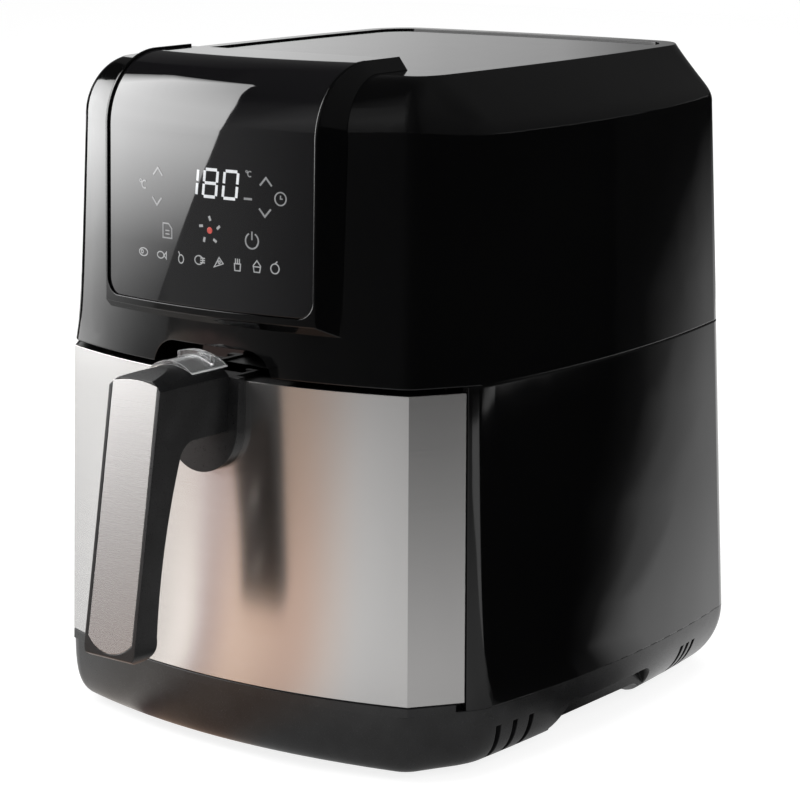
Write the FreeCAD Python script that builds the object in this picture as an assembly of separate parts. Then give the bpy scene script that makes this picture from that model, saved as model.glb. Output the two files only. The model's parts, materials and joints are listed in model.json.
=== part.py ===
import FreeCAD, Part
import math
import os

# Air fryer with a pull-out pan and a lift-out basket. Millimetres, +Z up, the drawer opens towards -Y.
# The shapes are drawn with Y = 0 at the middle of the side walls and moved by FRAME_SHIFT at the end.

V = FreeCAD.Vector
X_AXIS, Y_AXIS, Z_AXIS = V(1, 0, 0), V(0, 1, 0), V(0, 0, 1)

# Heights
FOOT_HEIGHT = 4.0
BASE_TOP = 34.0
SEAM = 182.0
CAP_START = 290.0
BEVEL_START = 291.0
BEVEL_STRAIGHT = 299.0
TOP = 317.5

# Plan of the housing at the top of the base: right-hand corners, mirrored to the left
FRONT_RADIUS = 318.0
FRONT_APEX = -153.3
FRONT_CENTRE = FRONT_APEX + FRONT_RADIUS
FOLD_X = 104.4
FOLD_ANGLE = math.asin(FOLD_X / FRONT_RADIUS)
SHOULDER = (125.9, -107.3)
HAUNCH = (121.6, 106.5)
TAIL = (91.5, 125.0)
SIDE_BULGE = 9.5
REAR_BULGE = 4.0
BACK = TAIL[1] + REAR_BULGE
DRAFT_X = 0.018
DRAFT_Y = 0.037

# Corners of the upper housing: set in by a quick flare above the seam and a slight lean
FLARE_IN = 2.44
FLARE_HEIGHT = 14.5
LEAN = 0.0257
FOLD_IN = (0.2, 1.0)
SHOULDER_IN = (0.49, 0.63)
WALL_LEVELS = (188.0, 196.0, 210.0, 235.0, 262.0)
HOLLOW_LEVELS = (196.0, 220.0)
CORNER_TRIMS = (5.0, 6.0, 8.0, 8.0)

# Plan of the top rim above the bevel
RIM_APEX = -114.6
RIM_FOLD = (90.0, -106.0)
RIM_SHOULDER = (94.5, -97.0)
RIM_HAUNCH = (94.5, 97.0)
RIM_TAIL = (83.0, 110.5)
RIM_SIDE_BULGE = 4.0
ROLL_SHARE = 0.985
CAP_LEVELS = (290.0, 292.0, 295.0, 299.0, 303.0, 307.0, 310.5, 313.5, 316.0, 317.5)
HOLLOW_CAP_LEVELS = (298.0, 305.0, 312.0, 317.5)
CAP_INSET = 1.5

WALL = 2.6
SEAM_CHAMFER = 0.5

# Base: its plan at the feet, its hollows and its openings
FOOT_FOLD = (98.0, -128.5)
FOOT_SHOULDER = (110.0, -104.0)
FOOT_HAUNCH = (104.5, 93.0)
FOOT_TAIL = (84.0, 110.0)
FOOT_APEXES = (-141.0, 113.0)
FOOT_BULGE = 4.75
FRONT_ROLL = 3.5
SIDE_ROLL = 2.0
BASE_LEVELS = (4.0, 5.0, 7.0, 10.5, 15.0, 21.0, 28.0, 34.0)
BASE_WALL = 4.0
BASE_THICK_WALL = 16.0
BASE_UNDER = 12.0
BASE_FLOOR = 15.0
BASE_SHELF = 25.0
SKIRT = 9.0
BASE_LIP_TOP = 37.4
LIP_THICK = 3.0
VENT_ROWS = ((-97.0, 11.3), (56.5, 6.3))
VENT_WIDTH = 3.4
VENT_COUNT = 3
VENT_Z = (8.0, 24.0)
GRIP_RECESS_Y = (-58.0, 36.0)
GRIP_RECESS_TOP = 22.0
GRIP_RECESS_BACK = 121.5
GRIP_RECESS_INNER = 94.0
FOOT_RADIUS = 9.0
FOOT_RIM = 3.0
FOOT_SOCKET = 1.5
FOOT_PLACES = ((84, -102), (-84, -102), (84, 84), (-84, 84))
GRILLE_PITCH = 11.0
GRILLE_SLOT = 4.0
GRILLE_HALF = 40.0
SUPPORT_PLACES = ((60, -70), (-60, -70), (60, 60), (-60, 60))
SUPPORT_RADIUS = 7.0
BASE_BOSS_RADIUS = 4.5

# Drawer front
WRAP_SHARE = 0.75
FRAME_SHARE = 0.64
STEEL_BOTTOM = 38.0
STEEL_TOP = 179.5
STEEL_THICK = 0.8
FRAME_BACK = -112.6
FRAME_WALL = 3.0
FRAME_DEPTH = 16.0
DRAWER_GAP = 0.8

# Control hood on the front of the upper housing
HOOD_LEVEL = 316.0
HOOD_PROUD = 7.4
LENS_PROUD = 6.4
LENS_THICK = 2.2
LENS_HALF = 62.2
LENS_BOTTOM = 212.0
LENS_CORNER = 8.0
LENS_GAP = 0.3
HOOD_HALF = 63.8
HOOD_BOTTOM = 204.0
HOOD_LIP_BOTTOM = 208.5
HOOD_SLANT = 8.8
HOOD_FOOT = 4.0
HOOD_STEP = 0.3
HOOD_ROUND = 27.0
FLANK_CURL = 1.2
HOOD_REAR = -86.0
PANEL_WINDOW = ((-40.0, 40.0), (-200.0, -100.0), (230.0, 288.0))
BOARD_BACK = -134.4
BOARD_THICK = 1.6
BOARD_FRONT = BOARD_BACK - BOARD_THICK
BOARD_HALF = 48.0
BOARD_Z = (218.0, 290.0)
BOARD_POST = 3.4
BOARD_SCREW_LENGTH = 4.5
DISPLAY_HALF = 34.0
DISPLAY_FRONT = -145.5
DISPLAY_Z = (236.0, 282.0)

# Handle, in the plane x = 0: (y, z)
HANDLE_HALF = 15.5
HANDLE_FRONT_TOP = (-196.0, 186.0)
HANDLE_FRONT_MID = (-206.5, 127.5)
HANDLE_FRONT_LOW = (-218.5, 63.0)
HANDLE_BOTTOM = 60.8
ARM_TOP = 188.5
ARM_UNDER = 156.5
ARM_ARCH_DROP = 6.5
ARM_START = -177.0
ARM_END = -148.0
GRIP_THICK = 14.3
ELBOW = (-184.8, 150.0)
ELBOW_MID = (-180.6, 155.0)
ELBOW_END = -174.5
INSERT_HALF = 13.4
INSERT_THICK = 1.0
COVER_HALF = 9.0
COVER_Z = (76.0, 128.0)
COVER_THICK = 2.0
HANDLE_SCREW_HEIGHTS = (84.0, 118.0)

# Flange and notch where the arm meets the drawer front
FLANGE_HALF = 21.5
FLANGE_Z = (130.0, 200.0)
FLANGE_THICK = (6.7, 3.0)
SOCKET_Y = (-152.3, -133.0)
SOCKET_WALL = 2.4
FLANGE_CENTRE = 157.5
FLANGE_TOP = 181.4
NOTCH_HALF = 36.0
NOTCH_TOP = 193.5
NOTCH_CORNER = 14.0
NOTCH_BACK = -129.0

# Release button, guard and latch
BUTTON_Y = -158.6
BUTTON_HALF_X = 6.0
BUTTON_HALF_Y = 4.8
BUTTON_LOW = 181.0
BUTTON_WELL = 176.0
STEM_Y = (-4.6, -3.2)
SPRING_SEAT = 172.4
SPRING_RADIUS = 2.1
SPRING_WIRE = 0.4
GUARD_Y = (-173.3, -149.5)
GUARD_HALF = 14.6
GUARD_THICK = 2.0
GUARD_GAP = 0.3
TAB_Y = (-157.6, -155.0)
TAB_HALF = 10.0
TAB_TOP = 193.2
LATCH_Y = -144.5
LATCH_Z = 167.5
LATCH_HALF = 3.0
LATCH_SLOT_TOP = 171.5
LATCH_TOE = 153.5
KEEPER_Y = (-152.0, -150.8)
KEEPER_Z = (156.0, 158.0)
TONGUE_LOW = 159.0
LATCH_PIN_RADIUS = 1.5
RUNNING_GAP = 0.05

# Cavity, pan and basket, all centred on the fan's axis
AXIS_Y = -8.0
LINER_HALF = 105.0
LINER_FRONT = -106.0
LINER_BACK = 104.0
LINER_FLOOR = 40.0
LINER_CORNER = 30.0
CAVITY_MOUTH = (98.0, 98.0, 30.0)
SHEET = 1.0
RAIL_Y = (-100.0, 70.0)
RAIL_LOW = 150.5
RAIL_WIDTH = 4.8
SWITCH_X = (40.0, 60.0)
SWITCH_Z = (120.0, 130.0)
SWITCH_DEPTH = 6.5
PAN_TOP = (97.5, 100.5, 36.0)
PAN_LOW = (89.5, 92.5, 28.0)
PAN_Z = (46.0, 157.0)
PAN_SHEET = 1.2
PAN_LIP = 4.0
PAN_RIM = 1.5
BASKET_TOP = (92.0, 93.0, 32.0)
BASKET_LOW = (85.0, 86.0, 25.0)
BASKET_Z = (56.0, 152.0)
BASKET_LIP = 3.0
BASKET_RIM = 1.2
BASKET_LEG = 5.0
BASKET_OPENING = (70.0, 73.0, 20.0)
PLATE_HOLE = 4.2
PLATE_PITCH = 26.0
STRIP_Z = 161.0
STRIP_LOW = 126.0
STRIP_FRONT = -173.0
STRIP_HALF = 9.0
STRIP_THICK = 2.0
RIVET_PLACES = ((-5, 136), (5, 136))
RIVET_HEAD = 2.6
RIVET_SHANK = 1.5

# Fan, heater and motor stack on the axis
SHIELD_FLANGE = 184.6
SHIELD_TOP = 225.0
SHIELD_RIM = (106.0, 34.0)
SHIELD_MOUTH = (97.0, 29.0)
SHIELD_CROWN = (88.0, 20.0)
SHIELD_BORE = 6.0
ELEMENT_Z = 194.0
ELEMENT_TUBE = 3.2
ELEMENT_RADII = (64.0, 80.0)
ELEMENT_START = 20.0
ELEMENT_END = 335.0
ELEMENT_BEND = 8.0
ELEMENT_SIDES = 6
CLIP_POST = (83.6, 85.6)
PROBE = (0.0, 64.0)
PROBE_RADIUS = 2.0
PROBE_COLLAR = 5.0
PROBE_TIP = 206.0
CUTOUT = (-66.0, 12.0)
CUTOUT_RADIUS = 8.0
SHAFT_RADIUS = 3.0
SHAFT_Z = (199.0, 283.0)
NUT_RADIUS = 5.5
NUT_HEIGHT = 5.0
MOTOR_PLATE_Z = 241.0
MOTOR_PLATE = (60.0, 48.0, 8.0)
MOTOR_LEG = 4.0
SPACER_STEP = 46.0
BUSH_RADIUS = 7.0
CONVECTION_RADIUS = 56.0
CONVECTION_HUB = 9.0
CONVECTION_Z = (205.0, 217.4)
COOLING_RADIUS = 46.0
COOLING_HUB = 12.0
COOLING_Z = (229.0, 236.0)
COOLING_PITCH = 40.0
BLADE_COUNT = 8
BLADE_THICK = 1.3
STACK_Z = (252.0, 270.0)
ROTOR_RADIUS = 12.7
ROTOR_GAP = 0.4

# Power board inside the right-hand wall
POWER_X = 112.0
POWER_Y = (-46.0, 34.0)
POWER_TOP = 262.0

# Back wall and top plate
GLAND_X = -58.0
GLAND_Z = 62.0
GLAND_RADIUS = 7.0
GLAND_BORE = 3.8
GLAND_COLLAR = 10.5
PLATE_RIM = 8.0
PLATE_SINK = 2.0
PLATE_THICK = 1.2
VENT_HALF = 44.0
VENT_SPAN = (214.0, 286.0)
VENT_FACE = 116.8

SCREW_HEAD = 3.4
SCREW_SHANK = 1.6
BOSS_DEPTH = 14.0
BOSS_RADIUS = 6.0


def line(a, b):
    return Part.LineSegment(a, b).toShape()


def arc(a, middle, b):
    return Part.Arc(a, middle, b).toShape()


def box(x, y, z):
    """Box from three (low, high) pairs."""
    return Part.makeBox(x[1] - x[0], y[1] - y[0], z[1] - z[0], V(x[0], y[0], z[0]))


def cylinder(radius, start, length, axis=Z_AXIS):
    return Part.makeCylinder(radius, length, start, axis)


def tube(outer, inner, start, length, axis=Z_AXIS):
    return cylinder(outer, start, length, axis).cut(cylinder(inner, start, length, axis))


def fuse(shapes):
    return shapes[0].multiFuse(shapes[1:]).removeSplitter()


def both_sides(shape):
    """The shape and its mirror image across x = 0."""
    return [shape, shape.mirror(V(0, 0, 0), X_AXIS)]


def rounded_wire(points, radii):
    """Closed wire through flat points, each corner rounded by its own radius."""
    edges = []
    count = len(points)
    ends = []
    for i, p in enumerate(points):
        before = (points[i - 1] - p).normalize()
        after = (points[(i + 1) % count] - p).normalize()
        if radii[i] == 0:
            ends.append((p, None, p))
            continue
        half = before.getAngle(after) / 2
        reach = radii[i] / math.tan(half)
        middle = (before + after).normalize() * (radii[i] / math.sin(half) - radii[i])
        ends.append((p + before * reach, p + middle, p + after * reach))
    for i, (start, middle, end) in enumerate(ends):
        if middle is not None:
            edges.append(arc(start, middle, end))
        following = ends[(i + 1) % count][0]
        if (following - end).Length > 1e-6:
            edges.append(line(end, following))
    return Part.Wire(edges)


def rounded_rectangle(half_x, half_y, radius, z, centre_y=AXIS_Y):
    points = [V(-half_x, centre_y - half_y, z), V(half_x, centre_y - half_y, z),
              V(half_x, centre_y + half_y, z), V(-half_x, centre_y + half_y, z)]
    return rounded_wire(points, [radius] * 4)


def loft(wires, ruled=True):
    return Part.makeLoft(wires, True, ruled)


def prism(wire, vector):
    return Part.Face(wire).extrude(vector)


def ring_wire(corners, middles, trims, z, inset):
    """Closed wire of lines and arcs through the plan corners, moved inwards and rounded at each corner."""
    count = len(corners)
    edges = []
    for i in range(count):
        a, b, m = corners[i], corners[(i + 1) % count], middles[i]
        edges.append(line(a, b) if m is None else arc(a, m, b))
    moved = []
    for i in range(count):
        arriving = edges[i - 1].tangentAt(edges[i - 1].LastParameter)
        leaving = edges[i].tangentAt(edges[i].FirstParameter)
        n1, n2 = Z_AXIS.cross(arriving), Z_AXIS.cross(leaving)
        moved.append(corners[i] + (n1 + n2) * (inset / (1 + n1.dot(n2))) + V(0, 0, z))
    pieces = []
    for i in range(count):
        a, b, m = moved[i], moved[(i + 1) % count], middles[i]
        if m is None:
            pieces.append(line(a, b))
            continue
        chord = (corners[(i + 1) % count] - corners[i]).normalize()
        pieces.append(arc(a, m + Z_AXIS.cross(chord) * inset + V(0, 0, z), b))
    spans = []
    for i, edge in enumerate(pieces):
        start = edge.getParameterByLength(trims[i])
        end = edge.getParameterByLength(edge.Length - trims[(i + 1) % count])
        spans.append(edge.Curve.toShape(start, end))
    result = []
    for i in range(count):
        result.append(spans[i])
        following = spans[(i + 1) % count]
        a, b = spans[i].valueAt(spans[i].LastParameter), following.valueAt(following.FirstParameter)
        corner = moved[(i + 1) % count]
        half = (a - corner).getAngle(b - corner) / 2
        radius = trims[(i + 1) % count] * math.tan(half)
        inwards = ((a + b) * 0.5 - corner).normalize()
        result.append(arc(a, corner + inwards * (radius / math.sin(half) - radius), b))
    return Part.Wire(result)


def plan_ring(fold, shoulder, haunch, tail, apexes, side_bulge, z, inset):
    """Eight-cornered plan from its right-hand corners, run anticlockwise from the left fold."""
    front, rear = apexes
    right = [V(x, y, 0) for x, y in (fold, shoulder, haunch, tail)]
    left = [V(-p.x, p.y, 0) for p in reversed(right)]
    corners = [left[3]] + right + left[:3]
    side_x = (shoulder[0] + haunch[0]) / 2 + side_bulge
    side_y = (shoulder[1] + haunch[1]) / 2
    middles = [V(0, front, 0), None, V(side_x, side_y, 0), None,
               V(0, rear, 0), None, V(-side_x, side_y, 0), None]
    f, s, h, t = CORNER_TRIMS
    shrink = max(0.5, 1 - inset / 10)
    trims = [trim * shrink for trim in (f, f, s, h, t, t, h, s)]
    return ring_wire(corners, middles, trims, z, inset)


def fold_at(z, inset=0.0):
    """Right-hand fold of the front: on the front cone, at the same turn from its middle all the way up."""
    radius = FRONT_RADIUS - DRAFT_Y * (z - BASE_TOP) - inset
    return radius * math.sin(FOLD_ANGLE), FRONT_CENTRE - radius * math.cos(FOLD_ANGLE)


def shoulder_at(z):
    rise = z - BASE_TOP
    return SHOULDER[0] - DRAFT_X * rise, SHOULDER[1] + DRAFT_Y * rise


def set_in(z, corner, share):
    """Right-hand corner of the upper housing, moved inwards by its share of the flare and the lean."""
    rise = max(0.0, z - SEAM)
    depth = FLARE_IN * (1 - math.exp(-rise / FLARE_HEIGHT)) + LEAN * rise
    return corner[0] - share[0] * depth, corner[1] + share[1] * depth


def front_at(z):
    """Y of the front's middle at a height."""
    return FRONT_APEX + DRAFT_Y * (z - BASE_TOP)


def outline(z, inset=0.0):
    """Plan of the housing at a height, drawn in by the draft of its walls."""
    rise = z - BASE_TOP
    in_x, in_y = DRAFT_X * rise, DRAFT_Y * rise
    haunch = (HAUNCH[0] - in_x, HAUNCH[1] - in_y)
    tail = (TAIL[0] - in_x, TAIL[1] - in_y)
    apexes = (front_at(z), BACK - in_y)
    fold = set_in(z, fold_at(z), FOLD_IN)
    shoulder = set_in(z, shoulder_at(z), SHOULDER_IN)
    return plan_ring(fold, shoulder, haunch, tail, apexes, SIDE_BULGE, z, inset)


def rim_outline(z, inset=0.0):
    apexes = (RIM_APEX, RIM_TAIL[1] + REAR_BULGE)
    return plan_ring(RIM_FOLD, RIM_SHOULDER, RIM_HAUNCH, RIM_TAIL, apexes, RIM_SIDE_BULGE, z, inset)


def edges_at(shape, z):
    """Edges that lie wholly at one height."""
    return [e for e in shape.Edges if abs(e.BoundBox.ZMin - z) < 1e-3 and abs(e.BoundBox.ZMax - z) < 1e-3]


def front_cone(offsets, gap=0.0):
    """Sector of the front cone behind the flange, filled back to its axis, grown at its foot and its top."""
    low, high = FLANGE_Z
    profile = [V(0, front_at(low) - offsets[0] - gap, low), V(0, front_at(high) - offsets[1] - gap, high),
               V(0, FRONT_CENTRE, high), V(0, FRONT_CENTRE, low)]
    return turned_sector(rounded_wire(profile, [0] * 4), 20.0)


def turned_sector(wire, angle):
    """Profile in the plane x = 0 turned to both sides about the axis of the front cone."""
    face = Part.Face(wire)
    face.rotate(V(0, FRONT_CENTRE, 0), Z_AXIS, -angle)
    return face.revolve(V(0, FRONT_CENTRE, 0), Z_AXIS, 2 * angle)


def screws(places, axis, head_height=2.0, length=10.0):
    """Pan-head screws: the head stands on each place and the shank runs along the axis."""
    out = []
    for place in places:
        head = cylinder(SCREW_HEAD, place - axis * head_height, head_height, axis)
        out.append(fuse([head, cylinder(SCREW_SHANK, place, length, axis)]))
    return Part.makeCompound(out)


def screw_holes(places, axis, length=10.0):
    return Part.makeCompound([cylinder(SCREW_SHANK, place, length, axis) for place in places])


def cap_section(z, inset=0.0, drop=0.0):
    """Plan of the housing's cap: an elliptic roll at the front, a straight bevel at the sides."""
    up = (z - CAP_START) / (TOP - CAP_START)
    roll = (1 - math.sqrt(1 - (ROLL_SHARE * up) ** 2)) / (1 - math.sqrt(1 - ROLL_SHARE ** 2))
    soft = BEVEL_STRAIGHT - BEVEL_START
    middle = BEVEL_START + soft / 2
    if z < BEVEL_START:
        slope = 0.0
    elif z < BEVEL_STRAIGHT:
        slope = (z - BEVEL_START) ** 2 / (2 * soft) / (TOP - middle)
    else:
        slope = (z - middle) / (TOP - middle)

    def blend(a, b, share_x, share_y):
        return a[0] + (b[0] - a[0]) * share_x, a[1] + (b[1] - a[1]) * share_y

    rise = CAP_START - BASE_TOP
    in_x, in_y = DRAFT_X * rise, DRAFT_Y * rise
    fold = blend(set_in(CAP_START, fold_at(CAP_START), FOLD_IN), RIM_FOLD, roll, roll)
    shoulder = set_in(CAP_START, shoulder_at(CAP_START), SHOULDER_IN)
    shoulder = blend(shoulder, RIM_SHOULDER, slope, (slope + roll) / 2)
    haunch = blend((HAUNCH[0] - in_x, HAUNCH[1] - in_y), RIM_HAUNCH, slope, up)
    tail = blend((TAIL[0] - in_x, TAIL[1] - in_y), RIM_TAIL, slope, up)
    apex = front_at(CAP_START) + (RIM_APEX - front_at(CAP_START)) * roll
    bulge = SIDE_BULGE + (RIM_SIDE_BULGE - SIDE_BULGE) * slope
    return plan_ring(fold, shoulder, haunch, tail, (apex, tail[1] + REAR_BULGE), bulge, z - drop, inset)


def filled_housing():
    """Outer form of the upper housing, filled."""
    low = SEAM + SEAM_CHAMFER
    edge = loft([outline(SEAM, SEAM_CHAMFER), outline(low)])
    wall = loft([outline(z) for z in (low,) + WALL_LEVELS + (CAP_START,)], False)
    return fuse([edge, wall, loft([cap_section(z) for z in CAP_LEVELS], False)])


def hollow_housing():
    """Inner form of the upper housing above its floor."""
    sections = [outline(z, WALL) for z in (SEAM + WALL,) + HOLLOW_LEVELS + (CAP_START - WALL,)]
    sections += [cap_section(z, CAP_INSET, WALL) for z in HOLLOW_CAP_LEVELS]
    return loft(sections)


BASE_SCREWS = [V(x, y, BASE_UNDER) for x in (-91, 91) for y in (-70, 62)]
HOUSING_SCREWS = [V(x, y, SEAM - WALL) for x in (-112, 112) for y in (-60, 60)]
BOARD_SCREWS = [V(x, BOARD_BACK, z) for x in (-44, 44) for z in (222, 286)]
MOTOR_POSTS = [(x, AXIS_Y + y) for x in (-52, 52) for y in (-40, 40)]
MOTOR_SCREWS = [V(x, AXIS_Y + y, STACK_Z[1] + 3) for x, y in ((-24, -20), (24, -20))]
FRAME_SCREWS = [V(x, FRAME_BACK, z) for x in (-84, 84) for z in (60, 150)]


def foot_outline(z, inset=0.0):
    return plan_ring(FOOT_FOLD, FOOT_SHOULDER, FOOT_HAUNCH, FOOT_TAIL, FOOT_APEXES, FOOT_BULGE, z, inset)


def base_section(z):
    """Plan of the base at a height: the housing's plan rolled in towards the narrower feet."""
    drop = (BASE_TOP - z) / (BASE_TOP - FOOT_HEIGHT)

    def roll(power):
        def fall(share):
            return 1 - (1 - (ROLL_SHARE * share) ** power) ** (1 / power)
        return fall(drop) / fall(1.0)

    def blend(a, b, power):
        return a[0] + (b[0] - a[0]) * roll(power), a[1] + (b[1] - a[1]) * roll(power)

    fold = blend(fold_at(BASE_TOP), FOOT_FOLD, FRONT_ROLL)
    shoulder = blend(SHOULDER, FOOT_SHOULDER, FRONT_ROLL)
    haunch = blend(HAUNCH, FOOT_HAUNCH, SIDE_ROLL)
    tail = blend(TAIL, FOOT_TAIL, SIDE_ROLL)
    side = (SHOULDER[0] + HAUNCH[0]) / 2 + SIDE_BULGE
    side_low = (FOOT_SHOULDER[0] + FOOT_HAUNCH[0]) / 2 + FOOT_BULGE
    bulge = side + (side_low - side) * roll(SIDE_ROLL) - (shoulder[0] + haunch[0]) / 2
    front = FRONT_APEX + (FOOT_APEXES[0] - FRONT_APEX) * roll(FRONT_ROLL)
    rear = BACK + (FOOT_APEXES[1] - BACK) * roll(SIDE_ROLL)
    return plan_ring(fold, shoulder, haunch, tail, (front, rear), bulge, z, 0.0)


def grip_recess():
    """Arched opening in the side of the base for the fingers, open to the underside."""
    front, rear = GRIP_RECESS_Y
    slope, corner = 12.0, 8.0
    out = []
    for x, top in ((GRIP_RECESS_BACK, GRIP_RECESS_TOP), (GRIP_RECESS_INNER, BASE_UNDER)):
        corners = [V(x, front, 0), V(x, rear, 0), V(x, rear - slope, top), V(x, front + slope, top)]
        out.append(prism(rounded_wire(corners, [0, 0, corner, corner]), V(60, 0, 0)))
    return fuse(out)


def base_tray():
    form = loft([base_section(z) for z in BASE_LEVELS], False)
    pocket = loft([outline(BASE_FLOOR, BASE_THICK_WALL), outline(BASE_SHELF + 1, BASE_THICK_WALL)])
    mouth = loft([outline(BASE_SHELF, BASE_WALL), outline(BASE_TOP + 1, BASE_WALL)])
    underside = prism(foot_outline(FOOT_HEIGHT - 1, SKIRT), V(0, 0, BASE_UNDER - FOOT_HEIGHT + 1))
    body = form.cut(Part.makeCompound([pocket])).cut(mouth).cut(underside)
    lip = wrap_shell((BASE_TOP - 1, BASE_LIP_TOP), 0.0, LIP_THICK, FRAME_SHARE)
    post_height = LINER_FLOOR - BASE_FLOOR + 1
    supports = [cylinder(SUPPORT_RADIUS, V(x, y, BASE_FLOOR - 1), post_height) for x, y in SUPPORT_PLACES]
    bosses = [cylinder(BASE_BOSS_RADIUS, p + V(0, 0, 1), BASE_TOP - BASE_UNDER - 1) for p in BASE_SCREWS]
    pad_height = BASE_UNDER - FOOT_HEIGHT + 1
    pads = [cylinder(FOOT_RADIUS + FOOT_RIM, V(x, y, FOOT_HEIGHT), pad_height) for x, y in FOOT_PLACES]
    body = fuse([body, lip] + supports + bosses + pads)
    cuts = both_sides(grip_recess())
    for first, pitch in VENT_ROWS:
        for i in range(VENT_COUNT):
            y = first + i * pitch
            cuts += both_sides(box((106, 140), (y - VENT_WIDTH / 2, y + VENT_WIDTH / 2), VENT_Z))
    for i in range(-3, 4):
        y = i * GRILLE_PITCH
        slot = (y - GRILLE_SLOT / 2, y + GRILLE_SLOT / 2)
        cuts.append(box((-GRILLE_HALF, GRILLE_HALF), slot, (0, BASE_FLOOR + 1)))
    cuts += [cylinder(FOOT_RADIUS, V(x, y, 0), FOOT_HEIGHT + FOOT_SOCKET) for x, y in FOOT_PLACES]
    cuts.append(screw_holes(BASE_SCREWS, Z_AXIS, BASE_TOP - BASE_UNDER))
    for piece in cuts:
        body = body.cut(piece)
    return body


def rubber_feet():
    feet = []
    for x, y in FOOT_PLACES:
        foot = cylinder(FOOT_RADIUS, V(x, y, 0), FOOT_HEIGHT + FOOT_SOCKET)
        feet.append(foot.makeChamfer(1.0, edges_at(foot, 0)))
    return Part.makeCompound(feet)


def wrap_shell(z, near, far, share=WRAP_SHARE):
    """Shell of the drawer front between two heights and insets, with part of each corner chamfer."""
    profile = [V(0, front_at(z[0]) + near, z[0]), V(0, front_at(z[0]) + far, z[0]),
               V(0, front_at(z[1]) + far, z[1]), V(0, front_at(z[1]) + near, z[1])]
    middle = turned_sector(rounded_wire(profile, [0] * 4), math.degrees(FOLD_ANGLE))
    wires = []
    for level in z:
        shoulder = V(*shoulder_at(level), level)
        fold = V(*fold_at(level), level)
        chamfer = shoulder - fold
        end = fold + chamfer * share
        normal = Z_AXIS.cross(chamfer).normalize()
        outer, inner = V(*fold_at(level, near), level), V(*fold_at(level, far), level)
        wires.append(rounded_wire([outer, end + normal * near, end + normal * far, inner], [0] * 4))
    return fuse([middle] + both_sides(loft(wires)))


def drawer_opening(gap):
    """Block through the front wall that the drawer front fills, larger than it by a gap."""
    wires = []
    for z in (BASE_TOP - 1, SEAM + 1):
        fold, shoulder = fold_at(z), shoulder_at(z)
        x = fold[0] + WRAP_SHARE * (shoulder[0] - fold[0]) + gap
        y = fold[1] + WRAP_SHARE * (shoulder[1] - fold[1]) + gap
        wires.append(rounded_wire([V(-x, -200, z), V(x, -200, z), V(x, y, z), V(-x, y, z)], [0] * 4))
    return loft(wires)


def lower_housing():
    body = loft([outline(BASE_TOP), outline(SEAM - SEAM_CHAMFER), outline(SEAM, SEAM_CHAMFER)])
    body = body.cut(loft([outline(BASE_TOP - 1, WALL), outline(SEAM + 1, WALL)]))
    bosses = []
    for p in HOUSING_SCREWS:
        boss = box((abs(p.x) - 5, 140), (p.y - 5, p.y + 5), (SEAM - WALL - BOSS_DEPTH, SEAM))
        bosses.append(boss if p.x > 0 else boss.mirror(V(0, 0, 0), X_AXIS))
    inside = loft([outline(BASE_TOP, 1), outline(SEAM, 1)])
    high = LINER_FLOOR - 0.5
    feet = [cylinder(BOSS_RADIUS, V(p.x, p.y, BASE_TOP), high - BASE_TOP) for p in BASE_SCREWS]
    webs = [box((abs(p.x), 140), (p.y - 1.5, p.y + 1.5), (BASE_TOP, high)) for p in BASE_SCREWS]
    webs = [w if p.x > 0 else w.mirror(V(0, 0, 0), X_AXIS) for w, p in zip(webs, BASE_SCREWS)]
    extra = [piece.common(inside) for piece in bosses + webs] + feet
    body = fuse([body.cut(drawer_opening(DRAWER_GAP))] + extra)
    low_places = [V(p.x, p.y, BASE_TOP) for p in BASE_SCREWS]
    high_places = [p - V(0, 0, BOSS_DEPTH) for p in HOUSING_SCREWS]
    body = body.cut(screw_holes(low_places, Z_AXIS, 8))
    body = body.cut(screw_holes(high_places, Z_AXIS, BOSS_DEPTH + WALL))
    return body.cut(cylinder(GLAND_RADIUS, V(GLAND_X, BACK - 20, GLAND_Z), 30, Y_AXIS))


def cord_gland():
    """Moulded inlet for the mains lead: a collar on the back wall and a sleeve through it."""
    form = loft([outline(BASE_TOP), outline(SEAM)])
    inner = BACK - 4 * WALL
    length = BACK - 0.4 - inner
    collar = cylinder(GLAND_COLLAR, V(GLAND_X, inner, GLAND_Z), length, Y_AXIS).cut(form)
    sleeve = cylinder(GLAND_RADIUS - RUNNING_GAP, V(GLAND_X, inner, GLAND_Z), length, Y_AXIS)
    bore = cylinder(GLAND_BORE, V(GLAND_X, inner - 1, GLAND_Z), length + 2, Y_AXIS)
    return fuse([collar, sleeve]).cut(bore)


def notch_form(half, top, corner, back):
    points = [V(-half, back, SEAM - 3), V(half, back, SEAM - 3), V(half, back, top), V(-half, back, top)]
    return prism(rounded_wire(points, [0, 0, corner, corner]), V(0, -60, 0))


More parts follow.
